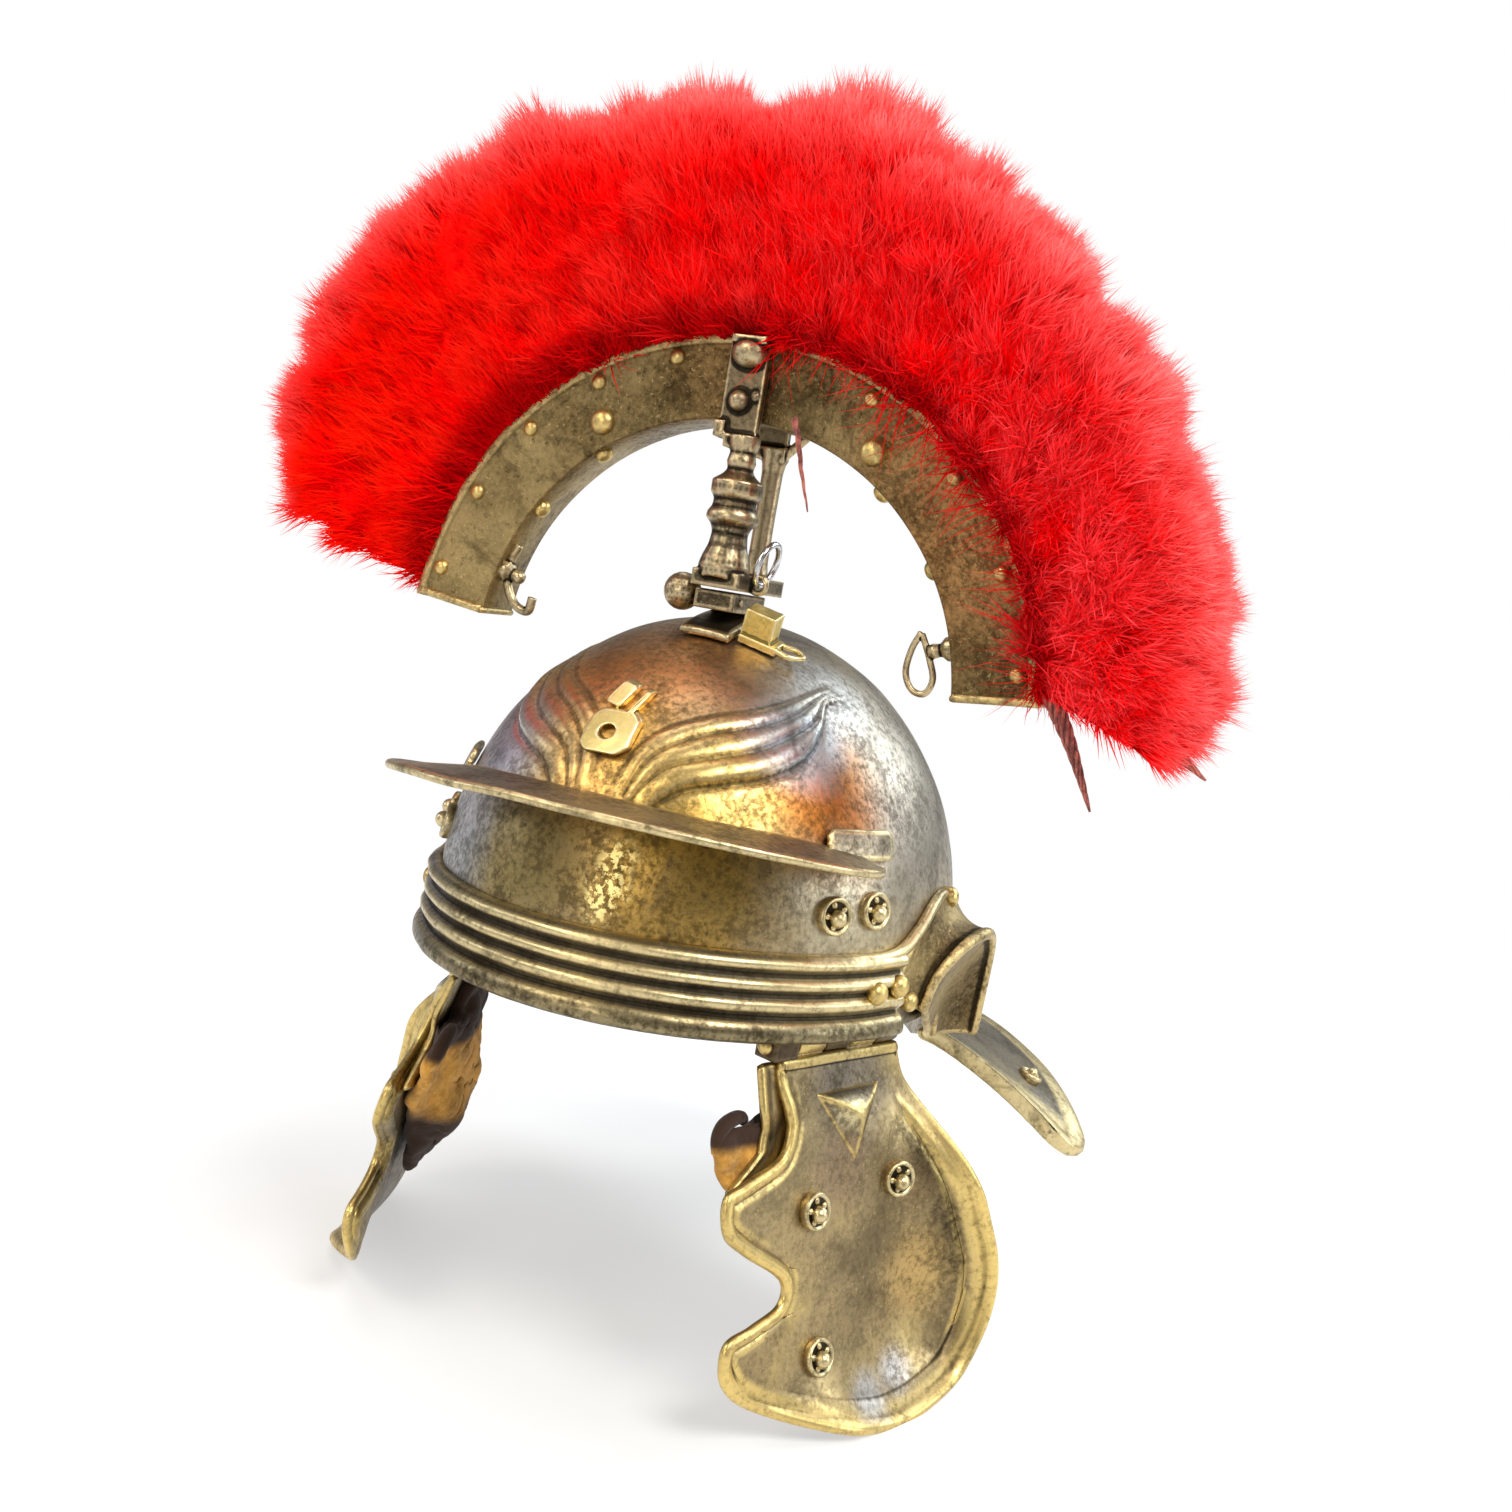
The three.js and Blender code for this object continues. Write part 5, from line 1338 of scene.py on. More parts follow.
def make_peak():
    """A crescent shelf with a bead along its edge and a flat tab at each end."""
    end = math.radians(PEAK_END_ANGLE)
    angle = np.linspace(-end, end, 170)
    across = np.concatenate([np.linspace(0, 0.86, 12), np.linspace(0.9, 1.0, 6)])
    bulge = np.sqrt(np.maximum(1 - np.abs(angle / end) ** 5, 0))
    reach = PEAK_END_REACH + (PEAK_REACH - PEAK_END_REACH) * bulge
    level = PEAK_LEVEL - PEAK_FALL * np.abs(angle / end) ** 2
    root = bowl_point(angle, level - PEAK_THICKNESS, -0.15)
    out = unit(root * [1, 1, 0])
    grid = root[:, None] + out[:, None] * (reach[:, None] * across)[..., None]
    grid[..., 2] = level[:, None] - 0.35 * (np.abs(angle / end) ** 1.5)[:, None] * across
    grid[..., 2] += waver(grid, 6.0, 0.12, 9.0)
    thickness = 0.36 + 0.2 * ease(across, 0.9, 0.97)
    parts = [plate(grid, np.broadcast_to(thickness, grid.shape[:2]))]
    for side in (-1, 1):
        turn = np.radians(np.linspace(51, 67, 40)) * side
        wide = np.linspace(-0.75, 0.75, 14)
        ends = np.clip((1 - np.linspace(-1, 1, 40) ** 24), 0.3, 1) ** 0.5
        levels = PEAK_LEVEL - PEAK_FALL + 0.75 + wide[None, :] * ends[:, None]
        parts.append(plate(bowl_point(turn[:, None], levels, 0.5), 0.42))
    add_piece("peak_shelf", joined(*parts), "worn", ["peak"])


def make_collar():
    """A drooping collar round the nape with rounded corners and a thick edge."""
    start = math.radians(NECK_START_ANGLE)
    turn = np.linspace(-1, 1, 200)
    angle = math.pi + (math.pi - start) * np.sin(turn * math.pi / 2)
    across = np.concatenate([np.linspace(0, 0.86, 20), np.linspace(0.88, 1.0, 9)])
    from_back = np.abs(math.pi - angle) / (math.pi - start)
    inner = bowl_point(angle, 0.0, -0.1)[:, None]
    corner = np.clip((from_back - 0.9) / 0.1, 0, 1)
    round_off = 1 - 0.24 * (1 - np.sqrt(1 - corner**2))
    outer = np.stack([np.sin(angle), -np.cos(angle), 0 * angle], -1)[:, None] * NECK_RADIUS
    share = across[None, :] * round_off[:, None]
    grid = inner + (outer - inner) * share[..., None]
    grid[..., 2] = collar_level(from_back[:, None], share)
    grid[..., 2] += waver(grid, 7.0, 0.15, 13.0)
    bead = np.maximum(ease(across, 0.9, 0.97)[None, :], ease(from_back, 0.955, 0.985)[:, None])
    collar = plate(grid, 0.85 + 0.35 * bead)
    piece = add_piece("neck_guard_collar", collar, "worn", ["neck_guard"])
    # Painted highlight on the collar's outer rim and its front ends, where light catches the edge.
    at = places_of(piece.data)
    turned = np.abs(math.pi - np.abs(np.arctan2(at[:, 0], -at[:, 1]))) / (math.pi - start)
    front = ease(turned, 0.9, 0.95)
    rim = ease(np.hypot(at[:, 0], at[:, 1]), NECK_RADIUS - 1.6, NECK_RADIUS - 1.0)
    paint(piece.data, "gild", 0.9 * np.maximum(front, rim))


def make_ear_hood(side, name):
    """A trumpet-shaped hood bent along an arch over the ear, with a rolled edge."""
    arch = evenly(smooth_line(EAR_ARCH, 14), 110)
    along = unit(np.gradient(arch, axis=0))
    spread = np.stack([-along[:, 1], along[:, 0]], -1)
    share = np.linspace(0, 1, len(arch))
    taper = 0.4 + 0.65 * ease(share, 0, 0.45)
    rise = np.linspace(0, 1, 18)
    away = 2.3 * (1 - rise) ** 2.4
    lift = 0.1 + 2.9 * rise[None, :] ** 1.3 * taper[:, None]
    hood = bowl_side(arch[:, :1] + spread[:, :1] * away, arch[:, 1:] + spread[:, 1:] * away, lift)
    edge = 0.55 + 0.3 * ease(rise, 0.86, 0.97)
    inside = np.linspace(0, 0.8, 16)
    heart = np.array([2.6, -2.0])
    web_y = arch[:, :1] + (heart[0] - arch[:, :1]) * inside
    web_z = arch[:, 1:] + (heart[1] - arch[:, 1:]) * inside
    web = bowl_side(web_y, web_z, 0.3 + 2.6 * (1 - inside[None, :] / 0.8) ** 1.8 * taper[:, None])
    parts = [plate(hood, np.broadcast_to(edge, hood.shape[:2])), plate(web, 0.5)]
    parts = [mirrored(part, side) for part in parts]
    cast_piece(f"{name}_ear_hood", parts, 0.13, "box", [f"{name}_ear_guard"])
    studs = []
    for y, z in ((1.0, 8.3), (-4.6, 1.9)):
        at = bowl_side(np.array(y), np.array(z), 0.6)
        studs.append((at * [side, 1, 1], bowl_normal(at) * [side, 1, 1], 0.7))
    add_studs(f"{name}_ear_rivets", studs, rivet_part(), "brass")


def make_medallion():
    """A rounded plate with a round hole, a tab above it and a thin bar beside the tab."""
    middle = bowl_front(*np.array(MEDALLION_AT))
    facing = bowl_normal(middle)
    across = unit(np.array([1.0, 0, 0]) - facing * facing[0])
    up = np.cross(facing, across)

    def on_brow(flat, height):
        """Flat places on the plate's face, laid on the bowl and lifted off it."""
        at = middle + flat[..., :1] * across + flat[..., 1:] * up
        return bowl_front(at[..., 0], at[..., 2], height)

    def tile(outline, levels):
        """A tile of a rounded outline by its height and size at each level."""
        centre = outline.mean(0)
        return loft([on_brow(centre + (outline - centre) * size, height) for height, size in levels])

    ring = circle(96)
    square = np.maximum(np.abs(ring[:, 0]), np.abs(ring[:, 1]))
    outer = ring * np.minimum(1.72 / square, 2.02)[:, None]
    hole = ring * 0.55 + [-0.1, -0.05]
    loops = [on_brow(outer * size, height) for height, size in ((0.0, 1.0), (0.4, 1.0), (0.55, 0.93))]
    loops += [on_brow(hole * size, height) for height, size in ((0.55, 1.1), (0.4, 1.0), (0.0, 1.0))]
    sections = np.array(loops + loops[:1])
    levels = ((0.0, 1.0), (0.42, 1.0), (0.56, 0.86))
    lean = np.array([[0.96, 0.28], [-0.28, 0.96]])
    tab = (ring * [0.66, 1.0] / np.maximum(square, 0.8)[:, None]) @ lean.T + [-0.5, 2.95]
    bar = (ring * [0.2, 1.1] / np.maximum(square, 0.8)[:, None]) @ lean.T + [1.0, 2.4]
    parts = [loft(sections, closed=False), tile(tab, levels), tile(bar, levels)]
    name, nodes = "brow_medallion_plate", ["brow_medallion"]
    cast_piece(name, parts, 0.06, "gold", nodes, soften=1)


class HELMET_OT_fittings(bpy.types.Operator):
    """Fit the brow band, the peak, the neck guard, the ear guards and the medallion"""

    bl_idname = "helmet.fittings"
    bl_label = "Fittings of the bowl"

    def execute(self, context):
        make_brow_band()
        make_peak()
        make_collar()
        for side, name in SIDES:
            make_ear_hood(side, name)
        make_medallion()
        return {"FINISHED"}


def rivet_part():
    """A domed rivet of radius one, standing on its seat."""
    turn = np.linspace(0.12, math.pi / 2, 7)
    dome = [(math.cos(t), 0.72 * math.sin(t)) for t in turn[:-1]]
    return lathe([(0, -0.7), (0.9, -0.7), (1.02, -0.1), *dome, (0, 0.72)], 16)


def rosette_part():
    """A rosette of radius one: a dished washer with petals under a round head."""
    rim = (
        (0, -0.45), (0.93, -0.45), (1.0, 0.0), (0.97, 0.17), (0.88, 0.24), (0.78, 0.18), (0.72, 0.1),
        (0, 0.1)
    )
    parts = [lathe(rim, 32)]
    for petal in range(5):
        turn = 2 * math.pi * petal / 5 + 0.4
        c, s = math.cos(turn), math.sin(turn)
        points, faces = ball((0, 0, 0), 1.0, 12)
        lobe = points * [0.2, 0.17, 0.12] @ np.array([[c, s, 0], [-s, c, 0], [0, 0, 1]])
        parts.append((lobe + [0.57 * c, 0.57 * s, 0.1], faces))
    parts.append(ball((0.08, -0.08, 0.24), 0.46, 18))
    return joined(*parts)


def make_guard(side, name, rim):
    """A dished plate with a wide flared flange, a rolled edge, a folded front and two knuckles."""
    table = np.array(GUARD_OUTLINE)
    # The edge, from the hinge down the front, round the tip and up the rear
    front = [(1.5, 1.15), (1.5, 2.6), (1.9, 4.2), (2.0, 5.3), (1.0, 7.1)]
    front += [(a, b) for b, a, _ in GUARD_OUTLINE if b > 8.0]
    levels = (25.2, 24.2, 22.8, 20.8, 18.4, 15.8, 13.2, 10.6, 8.0, 5.4, 3.2, 1.15)
    rear = [(float(np.interp(level, table[:, 0], table[:, 2])), level) for level in levels]
    line = smooth_line([*front, (11.6, 25.5), *rear], 14)
    line = np.vstack([line, np.linspace(line[-1], line[0], 30)[1:-1]])
    line = evenly(np.vstack([line, line[:1]]), 641)[:-1]
    is_flange = ((line[:, 0] > 9) & (line[:, 1] > 4)) | (line[:, 1] > 19.9)
    is_notch = (line[:, 0] < 9) & (line[:, 1] > 1.6) & (line[:, 1] < 21.0)
    flanged, notched = line[is_flange], line[is_notch]
    share = np.concatenate([np.linspace(0, 0.3, 34), np.linspace(0.33, 0.985, 24), [1.0]])
    flat = line[None] + (GUARD_MIDDLE - line)[None] * share[:, None, None]
    along, depth = flat[..., 0], flat[..., 1]
    to_flange = edge_distance(flat, flanged)
    to_notch = edge_distance(flat, notched)
    # The dish with its flared flange, a bead on the edge and a crease inside it
    grown = ease(depth, 3.5, 8.0) * ease(along, -3.5, 3.0)
    camber = GUARD_CAMBER * np.sin(math.pi * np.clip((depth - 1) / table[-1, 0], 0, 1))
    dish = (1 - np.clip((to_flange + 0.3) / GUARD_FLANGE, 0, 1)) ** 2
    eased = dish
    for _ in range(DISH_ROUNDS):
        eased = (np.roll(eased, 1, 1) + 2 * eased + np.roll(eased, -1, 1)) / 4
    dish = dish + (eased - dish) * ease(to_flange, 1.6, 3.6)
    out = camber + GUARD_FLARE * dish * ease(depth, 3.0, 12.0)
    out = out - (out - camber) * (1 - ease(along, -1.0, 7.5))
    raised = 0.12 * (1 - 0.7 * ease(depth, 18.0, 23.0)) * (1 - ease(to_flange, 0.9, 1.6))
    out = out + grown * (0.2 * np.exp(-((to_flange / 0.32) ** 2)) + raised)
    crease = ease(depth, 3.5, 8.0) * (1 - 0.8 * ease(depth, 19.0, 23.0)) * ease(along, 0.0, 8.0)
    out = out - crease * 0.24 * np.exp(-(((to_flange - 1.45) / 0.26) ** 2))
    # The raised rim of the notches and a lip at the hinge
    notch = ease(depth, 1.5, 4.0) * (1 - ease(depth, 18.0, 21.0))
    out = out + 0.6 * rim * (1 - ease(to_notch, 0.2, 0.55)) * notch
    out = out - 0.12 * np.exp(-(((to_notch - 0.75) / 0.25) ** 2)) * notch
    out = out + 0.15 * (1 - ease(depth, table[0, 0] + 0.15, table[0, 0] + 0.5))
    grid = guard_point(along, depth, out)
    grid = grid + waver(grid, 5.5, 0.16, 21.0)[..., None] * GUARD_OUT
    parts = [shield(grid, GUARD_THICKNESS * 0.85, GUARD_OUT), guard_fold()]
    for low, high in MOVING_KNUCKLES:
        parts.append(knuckle(low, high))
        strap = guard_point(np.array([[low], [high]]), np.array([[0.3, 2.1]]), 0.1)
        parts.append(plate(strap, 0.55))
    part = mirrored(joined(*parts), side)
    nodes, body = [f"{name}_cheek_guard"], f"{name}_cheek"
    piece = add_piece(f"{name}_cheek_plate", part, "brass", nodes, body)
    # Bright edges, partly bright brass and partly painted highlight, and painted shade in the hollow inside
    # the flange and on the inner face
    flat = guard_places(piece, side)
    away = edge_distance(flat, flanged)
    gild = 0.8 * (1 - ease(away, 0.95, 1.4)) * ease(flat[:, 1], 5.0, 11.0)
    gild = gild * (1 - 0.6 * ease(flat[:, 1], 20.0, 24.0))
    gild = np.maximum(gild, 0.5 * (1 - ease(edge_distance(flat, notched), 0.15, 0.45)))
    paint(piece.data, "gild", gild)
    hollow = ease(away, 1.3, 1.7) * (1 - ease(away, 2.2, 4.0)) * ease(flat[:, 0], 9.0, 12.0)
    hollow = hollow * ease(flat[:, 1], 4.0, 8.0) * (1 - ease(flat[:, 1], 15.0, 21.0))
    inner = 1 - ease(vertex_rows(piece.data, "normal") @ (GUARD_OUT * [side, 1, 1]), -0.7, -0.3)
    paint(piece.data, "dim", np.maximum(0.92 * hollow, 0.6 * inner))


def guard_fold():
    """The strip behind the eye notch that doubles the front edge."""
    below = np.linspace(1.35, 8.6, 50)
    front = np.interp(below, (1.35, 4.0, 5.2, 6.6, 7.6, 8.6), (-0.1, 0.0, 0.3, 0.0, -1.4, -2.9))
    along = front[:, None] + (3.0 - front)[:, None] * np.linspace(0, 1, 16)
    depth = np.broadcast_to(below[:, None], along.shape)
    lip = 0.15 * np.exp(-(((along - front[:, None]) / 0.4) ** 2))
    out = guard_swell(along, depth) - 0.3 - 0.35 * ease(depth, 4.0, 6.0) + lip
    return plate(guard_point(along, depth, out), 0.5)


def make_lining(side, name):
    """A padded suede lining that bulges towards the face and curls at its front edge."""
    below, front, rear = outline_rows(LINING_OUTLINE, 80)
    share = np.linspace(0, 1, 46)
    along = front[:, None] + (rear - front)[:, None] * share
    depth = np.broadcast_to(below[:, None], along.shape)
    top, bottom = below[0], below[-1]
    pad = np.sin(math.pi * (depth - top) / (bottom - top)) * np.minimum(1, np.sin(math.pi * share) * 1.6)
    pad = pad * ease(along, -0.5, 4.5) * (1 + 0.7 * ease(depth, 8.0, 13.0))
    thick = LINING_THICKNESS * 0.75 + LINING_PADDING * 0.85 * pad
    curl = 0.05 * np.maximum(0, 0.4 - along) ** 2 * (1 - ease(depth, 8.0, 10.0))
    out = guard_swell(along, depth) - GUARD_THICKNESS / 2 - GAP - thick / 2 - 0.15 - curl
    grid = guard_point(along, depth, out)
    soft = waver(grid, 2.2, 0.45, 31.0) + waver(grid, 0.9, 0.2, 37.0)
    grid = grid - soft[..., None] * GUARD_OUT
    roll_along, roll_below = smooth_line(LINING_ROLL, 8).T
    level = guard_swell(roll_along, roll_below) - GUARD_THICKNESS - 0.75
    radius = 0.5 * np.sin(np.linspace(0.7, 2.7, len(level))) ** 0.6
    roll = tube(guard_point(roll_along, roll_below, level), radius, 12)
    part = mirrored(joined(plate(grid, thick), roll), side)
    nodes, body = [f"{name}_cheek_lining"], f"{name}_cheek"
    piece = add_piece(f"{name}_suede_lining", part, "suede", nodes, body, wear=False)
    # Full suede colour in the middle of the lining, dark along its top, bottom and front edge
    along, depth = guard_places(piece, side).T
    inside = np.interp(depth, below, front)
    nap = ease(depth, 5.9, 6.8) * (1 - ease(depth, 10.5, 13.0)) * ease(along - inside, -1.2, -0.4)
    paint(piece.data, "nap", np.clip(nap, 0, 1))


def make_boss(side, name):
    """A raised triangle with sloping sides."""
    at, facing = guard_seat(*CHEEK_BOSS)
    up = unit(-GUARD_DOWN + facing * np.dot(GUARD_DOWN, facing))
    axes = np.stack([np.cross(up, facing), up, facing])
    corners = np.array(BOSS_CORNERS)
    middle = corners.mean(0)
    outline = []
    for i in range(3):
        a, b = corners[i], corners[(i + 1) % 3]
        for t in np.linspace(0, 1, 10, endpoint=False):
            outline.append(a + (b - a) * t)
    outline = np.array(outline)
    sections = []
    for size in (1.06, *np.linspace(1.04, 0.02, 26)):
        height = BOSS_HEIGHT * (1 - size**1.7) if size < 1.05 else -0.5
        flat = middle + (outline - middle) * size
        sections.append(np.concatenate([flat, np.full((len(flat), 1), height)], -1))
    points, faces = loft(sections)
    part = mirrored((points @ axes + at, faces), side)
    nodes, body = [f"{name}_cheek_boss"], f"{name}_cheek"
    cast_piece(f"{name}_cheek_triangle", [part], 0.09, "brass", nodes, body, 12)


def make_hinge(side, name):
    """The fixed leaf with its knuckles, and the pin with a round head at the front."""
    turn = -math.atan2(HINGE_ALONG[0], HINGE_ALONG[1])
    middle = HINGE_FRONT + HINGE_ALONG * 6.5
    parts = [block(middle + [0, 0, 2.4], (0.6, 12.6, 2.8), turn)]
    for low, high in FIXED_KNUCKLES:
        parts.append(knuckle(low, high))
        centre = HINGE_FRONT + HINGE_ALONG * (low + high) / 2 + [0, 0, 0.8]
        parts.append(block(centre, (0.6, high - low, 1.5), turn))
    parts.append(block(guard_point(1.35, 0.0, 0.0), (1.75, 2.3, 1.75), turn))
    parts.append(block(guard_point(12.2, -1.0, 0.0), (1.1, 1.2, 2.6), turn))
    parts = [mirrored(part, side) for part in parts]
    cast_piece(f"{name}_hinge_strip", parts, 0.1, "hinge", [f"{name}_hinge_leaf"])
    rod = tube(guard_point(np.linspace(0.0, 13.0, 20), 0.0, 0.0), PIN_RADIUS, 14)
    points, faces = rivet_part()
    head = stand((points * 0.55, faces), guard_point(0.12, 0.0, 0.0), -HINGE_ALONG)
    part = mirrored(joined(rod, head), side)
    add_piece(f"{name}_hinge_rod", part, "brass", [f"{name}_hinge_pin"])


def make_rosettes(side, name, size):
    """Three rosettes on the guard, two at the temple and one on the neck guard."""
    flip = np.array([side, 1.0, 1.0])
    places = []
    for along, below in CHEEK_ROSETTES:
        at, facing = guard_seat(along, below)
        places.append(((at + facing * 0.3) * flip, facing * flip, size))
    nodes = [f"{name}_cheek_rosette_{i}" for i in (1, 2, 3)]
    add_studs(
        f"{name}_cheek_rosettes", places, rosette_part(), "worn", nodes, f"{name}_cheek"
    )
    places = []
    for degrees, level in TEMPLE_ROSETTES:
        at = bowl_point(math.radians(degrees), level)
        places.append(((at + bowl_normal(at) * 0.25) * flip, bowl_normal(at) * flip, size))
    wing = NECK_ROSETTE_ANGLE
    from_back = (math.pi - wing) / (math.pi - math.radians(NECK_START_ANGLE))
    inner = bowl_point(wing, 0.0, 0.2)
    outer = np.array([math.sin(wing), -math.cos(wing), 0.0]) * NECK_RADIUS
    seat = inner + (outer - inner) * NECK_ROSETTE_SHARE
    seat[2] = collar_level(from_back, NECK_ROSETTE_SHARE) + NECK_THICKNESS / 2 + 0.2
    places.append((seat * flip, unit(np.array([0.35, 0.1, 1.0])) * flip, 0.75 * size))
    nodes = [f"{name}_temple_rosette_{i}" for i in (1, 2)] + [f"{name}_neck_rosette"]
    add_studs(f"{name}_bowl_rosettes", places, rosette_part(), "worn", nodes)


class HELMET_OT_cheeks(bpy.types.Operator):
    """Make the cheek guards with their hinges, linings, bosses and rosettes"""

    bl_idname = "helmet.cheeks"
    bl_label = "Cheek guards"

    def execute(self, context):
        sizes = context.scene.helmet_sizes
        for side, name in SIDES:
            make_guard(side, name, sizes.guard_rim / MM)
            make_lining(side, name)
            make_boss(side, name)
            make_hinge(side, name)
            make_rosettes(side, name, sizes.rosette / MM)
        return {"FINISHED"}


def knuckle(low, high):
    """One barrel of the cheek hinge between two places along its pin."""
    half = (high - low) / 2
    r = KNUCKLE_RADIUS
    barrel = lathe(
        [(0, -half), (r - 0.1, -half), (r, -half + 0.1), (r, half - 0.1), (r - 0.1, half), (0, half)], 20
    )
    return stand(barrel, guard_point((low + high) / 2, 0.0, 0.0), HINGE_ALONG)


def make_crest_box(rivet):
    """A curved channel with rolled lips, closed ends and rows of rivets."""
    inner, outer, half, wall = CREST_INNER, CREST_OUTER, CREST_HALF_WIDTH, CREST_WALL
    lip, roll = 0.28, outer - 0.75
    front = [
        (inner + 0.12, half), (roll - 0.1, half), (roll, half + 0.08), (roll + 0.1, half + lip * 0.8),
        (roll + 0.3, half + lip), (outer - 0.2, half + lip), (outer - 0.03, half + lip * 0.6),
        (outer, half), (outer, half - wall), (inner + wall, half - wall),
    ]
    back = [(r, -y) for r, y in front[::-1]]
    profile = np.array([(inner, half - 0.12), *front, *back, (inner, 0.12 - half)])
    angle = np.linspace(-CREST_HALF_ANGLE, CREST_HALF_ANGLE, 150)
    sections = crest_point(
        angle[:, None], profile[None, :, 0], CREST_Y + profile[None, :, 1] + 0 * angle[:, None]
    )
    sections[..., 1] += waver(sections, 4.0, 0.1, 41.0)
    parts = [loft(sections)]
    for side in (-1, 1):
        end = side * CREST_HALF_ANGLE
        corners = [(inner + 0.1, -half), (outer - 0.1, -half), (outer - 0.1, half), (inner + 0.1, half)]
        line = np.array([crest_point(end - side * 0.6, r, CREST_Y + y) for r, y in corners])
        share = np.linspace(0, 1, 10)[None, :, None]
        cap = np.linspace(line[0], line[1], 12)[:, None] * (1 - share)
        cap = cap + np.linspace(line[3], line[2], 12)[:, None] * share
        parts.append(plate(cap, 0.45))
        bead = crest_point(
            end - side * 0.8, np.linspace(inner + 0.15, outer - 0.3, 20), CREST_Y - half - 0.05
        )
        parts.append(tube(bead, 0.3, 8))
    add_piece("crest_channel", joined(*parts), "box", ["crest_box"])
    places = []
    for degrees in LIP_RIVETS:
        at = crest_point(degrees, CREST_OUTER - 1.35, CREST_Y - half - 0.05)
        places.append((at, (0, -1, 0), rivet))
        places.append((at * [1, 0, 1] + [0, CREST_Y + half + 0.05, 0], (0, 1, 0), rivet))
    for degrees in FACE_RIVETS:
        at = crest_point(degrees, CREST_INNER + 1.6, CREST_Y - half - 0.1)
        places.append((at, (0, -1, 0), 1.6 * rivet))
    for degrees in INNER_RIVETS:
        at = crest_point(degrees, CREST_INNER - 0.1, CREST_Y - 0.9)
        inward = crest_point(degrees, -1.0, 0.0) - crest_point(degrees, 0.0, 0.0)
        places.append((at, inward, 1.15 * rivet))
    add_studs("crest_rivets", places, rivet_part(), "brass")


def make_fork():
    """A turned post in front and a plain one behind, with brackets, studs and one foot."""
    top = CREST_CENTRE_Z + CREST_OUTER - 0.2
    base = FOOT_LEVEL + FOOT_HEIGHT
    parts = []
    for face, profile in ((-1, TURNED_LEG), (1, PLAIN_LEG)):
        y = CREST_Y + face * POST_OFFSET
        x = BRACKET_X
        lump = ball((0, 0, 0), 1.0, 20)
        post = lathe(profile, 28)
        parts += [
            block((x, y, top - 3.4), (2.75, 0.7, 6.8)),
            block((x + 0.3, y, top - 6.9), (2.2, 1.2, 0.9)),
            (lump[0] * [1.25, 0.95, 1.0] + [x + 0.1, y + face * 0.45, top - 1.2], lump[1]),
            block((x + 0.1, y + face * 0.5, top - 0.35), (2.5, 1.0, 0.5)),
            ball((x - 0.15, y + face * 0.45, top - 4.3), 0.7, 16),
            ball((x + 0.9, y + face * 0.3, top - 3.9), 0.3, 10),
            block((x - 1.2, y + face * 0.25, top - 6.2), (0.75, 0.9, 1.1)),
            (post[0] + [POST_X, y, base], post[1]),
        ]
    rear = CREST_Y + POST_OFFSET
    parts.append(tube(np.linspace((POST_X, rear, 35.2), (3.0, rear, 37.4), 8), 0.34, 10))
    parts.append(
        block((POST_X, CREST_Y, base - FOOT_HEIGHT / 2), (3.4, 2 * POST_OFFSET + 2.6, FOOT_HEIGHT))
    )
    eye = np.insert(circle(28, 0.55), 1, 0.0, axis=1)
    parts.append(tube(eye + LOCK_LUG, RING_WIRE, 10, ring=True))
    name, nodes = "crest_fork_casting", ["crest_fork"]
    cast_piece(name, parts, 0.1, "iron", nodes, soften=5)


def make_crown():
    """A saddle plate with its socket, the pin that locks the fork, and the ring in its lug."""
    x = SOCKET_X + np.linspace(-1.6, 1.6, 20)
    y = CREST_Y + np.linspace(-3.2, 3.2, 30)
    saddle = plate(bowl_top(x[:, None], y[None, :], 0.4), 0.65)
    socket = block((SOCKET_X, CREST_Y, FOOT_LEVEL - 0.82), (2.9, 5.5, 1.3))
    nodes = ["crown_plate"]
    cast_piece("crown_saddle", [saddle, socket], 0.09, "iron", nodes)
    path = np.linspace((-2.6, LOCK_PIN_Y, PIN_LEVEL), (SOCKET_X + 1.6, LOCK_PIN_Y, PIN_LEVEL), 12)
    parts = [tube(path, 0.27, 12), ball((-2.35, LOCK_PIN_Y, PIN_LEVEL + 0.2), 1.3, 20)]
    cast_piece("lock_pin_rod", parts, 0.08, "iron", ["lock_pin"], soften=2)
    slope = np.array([math.cos(LOCK_RING_LEAN), 0, math.sin(LOCK_RING_LEAN)])
    turn = circle(40)
    tilted = turn[:, :1] * slope + turn[:, 1:] * [0, 1, 0]
    path = LOCK_LUG + LOCK_RING_RADIUS * slope + LOCK_RING_RADIUS * tilted
    ring = tube(path, RING_WIRE, 12, ring=True)
    add_piece("lock_ring_wire", ring, "steel", ["lock_ring"])


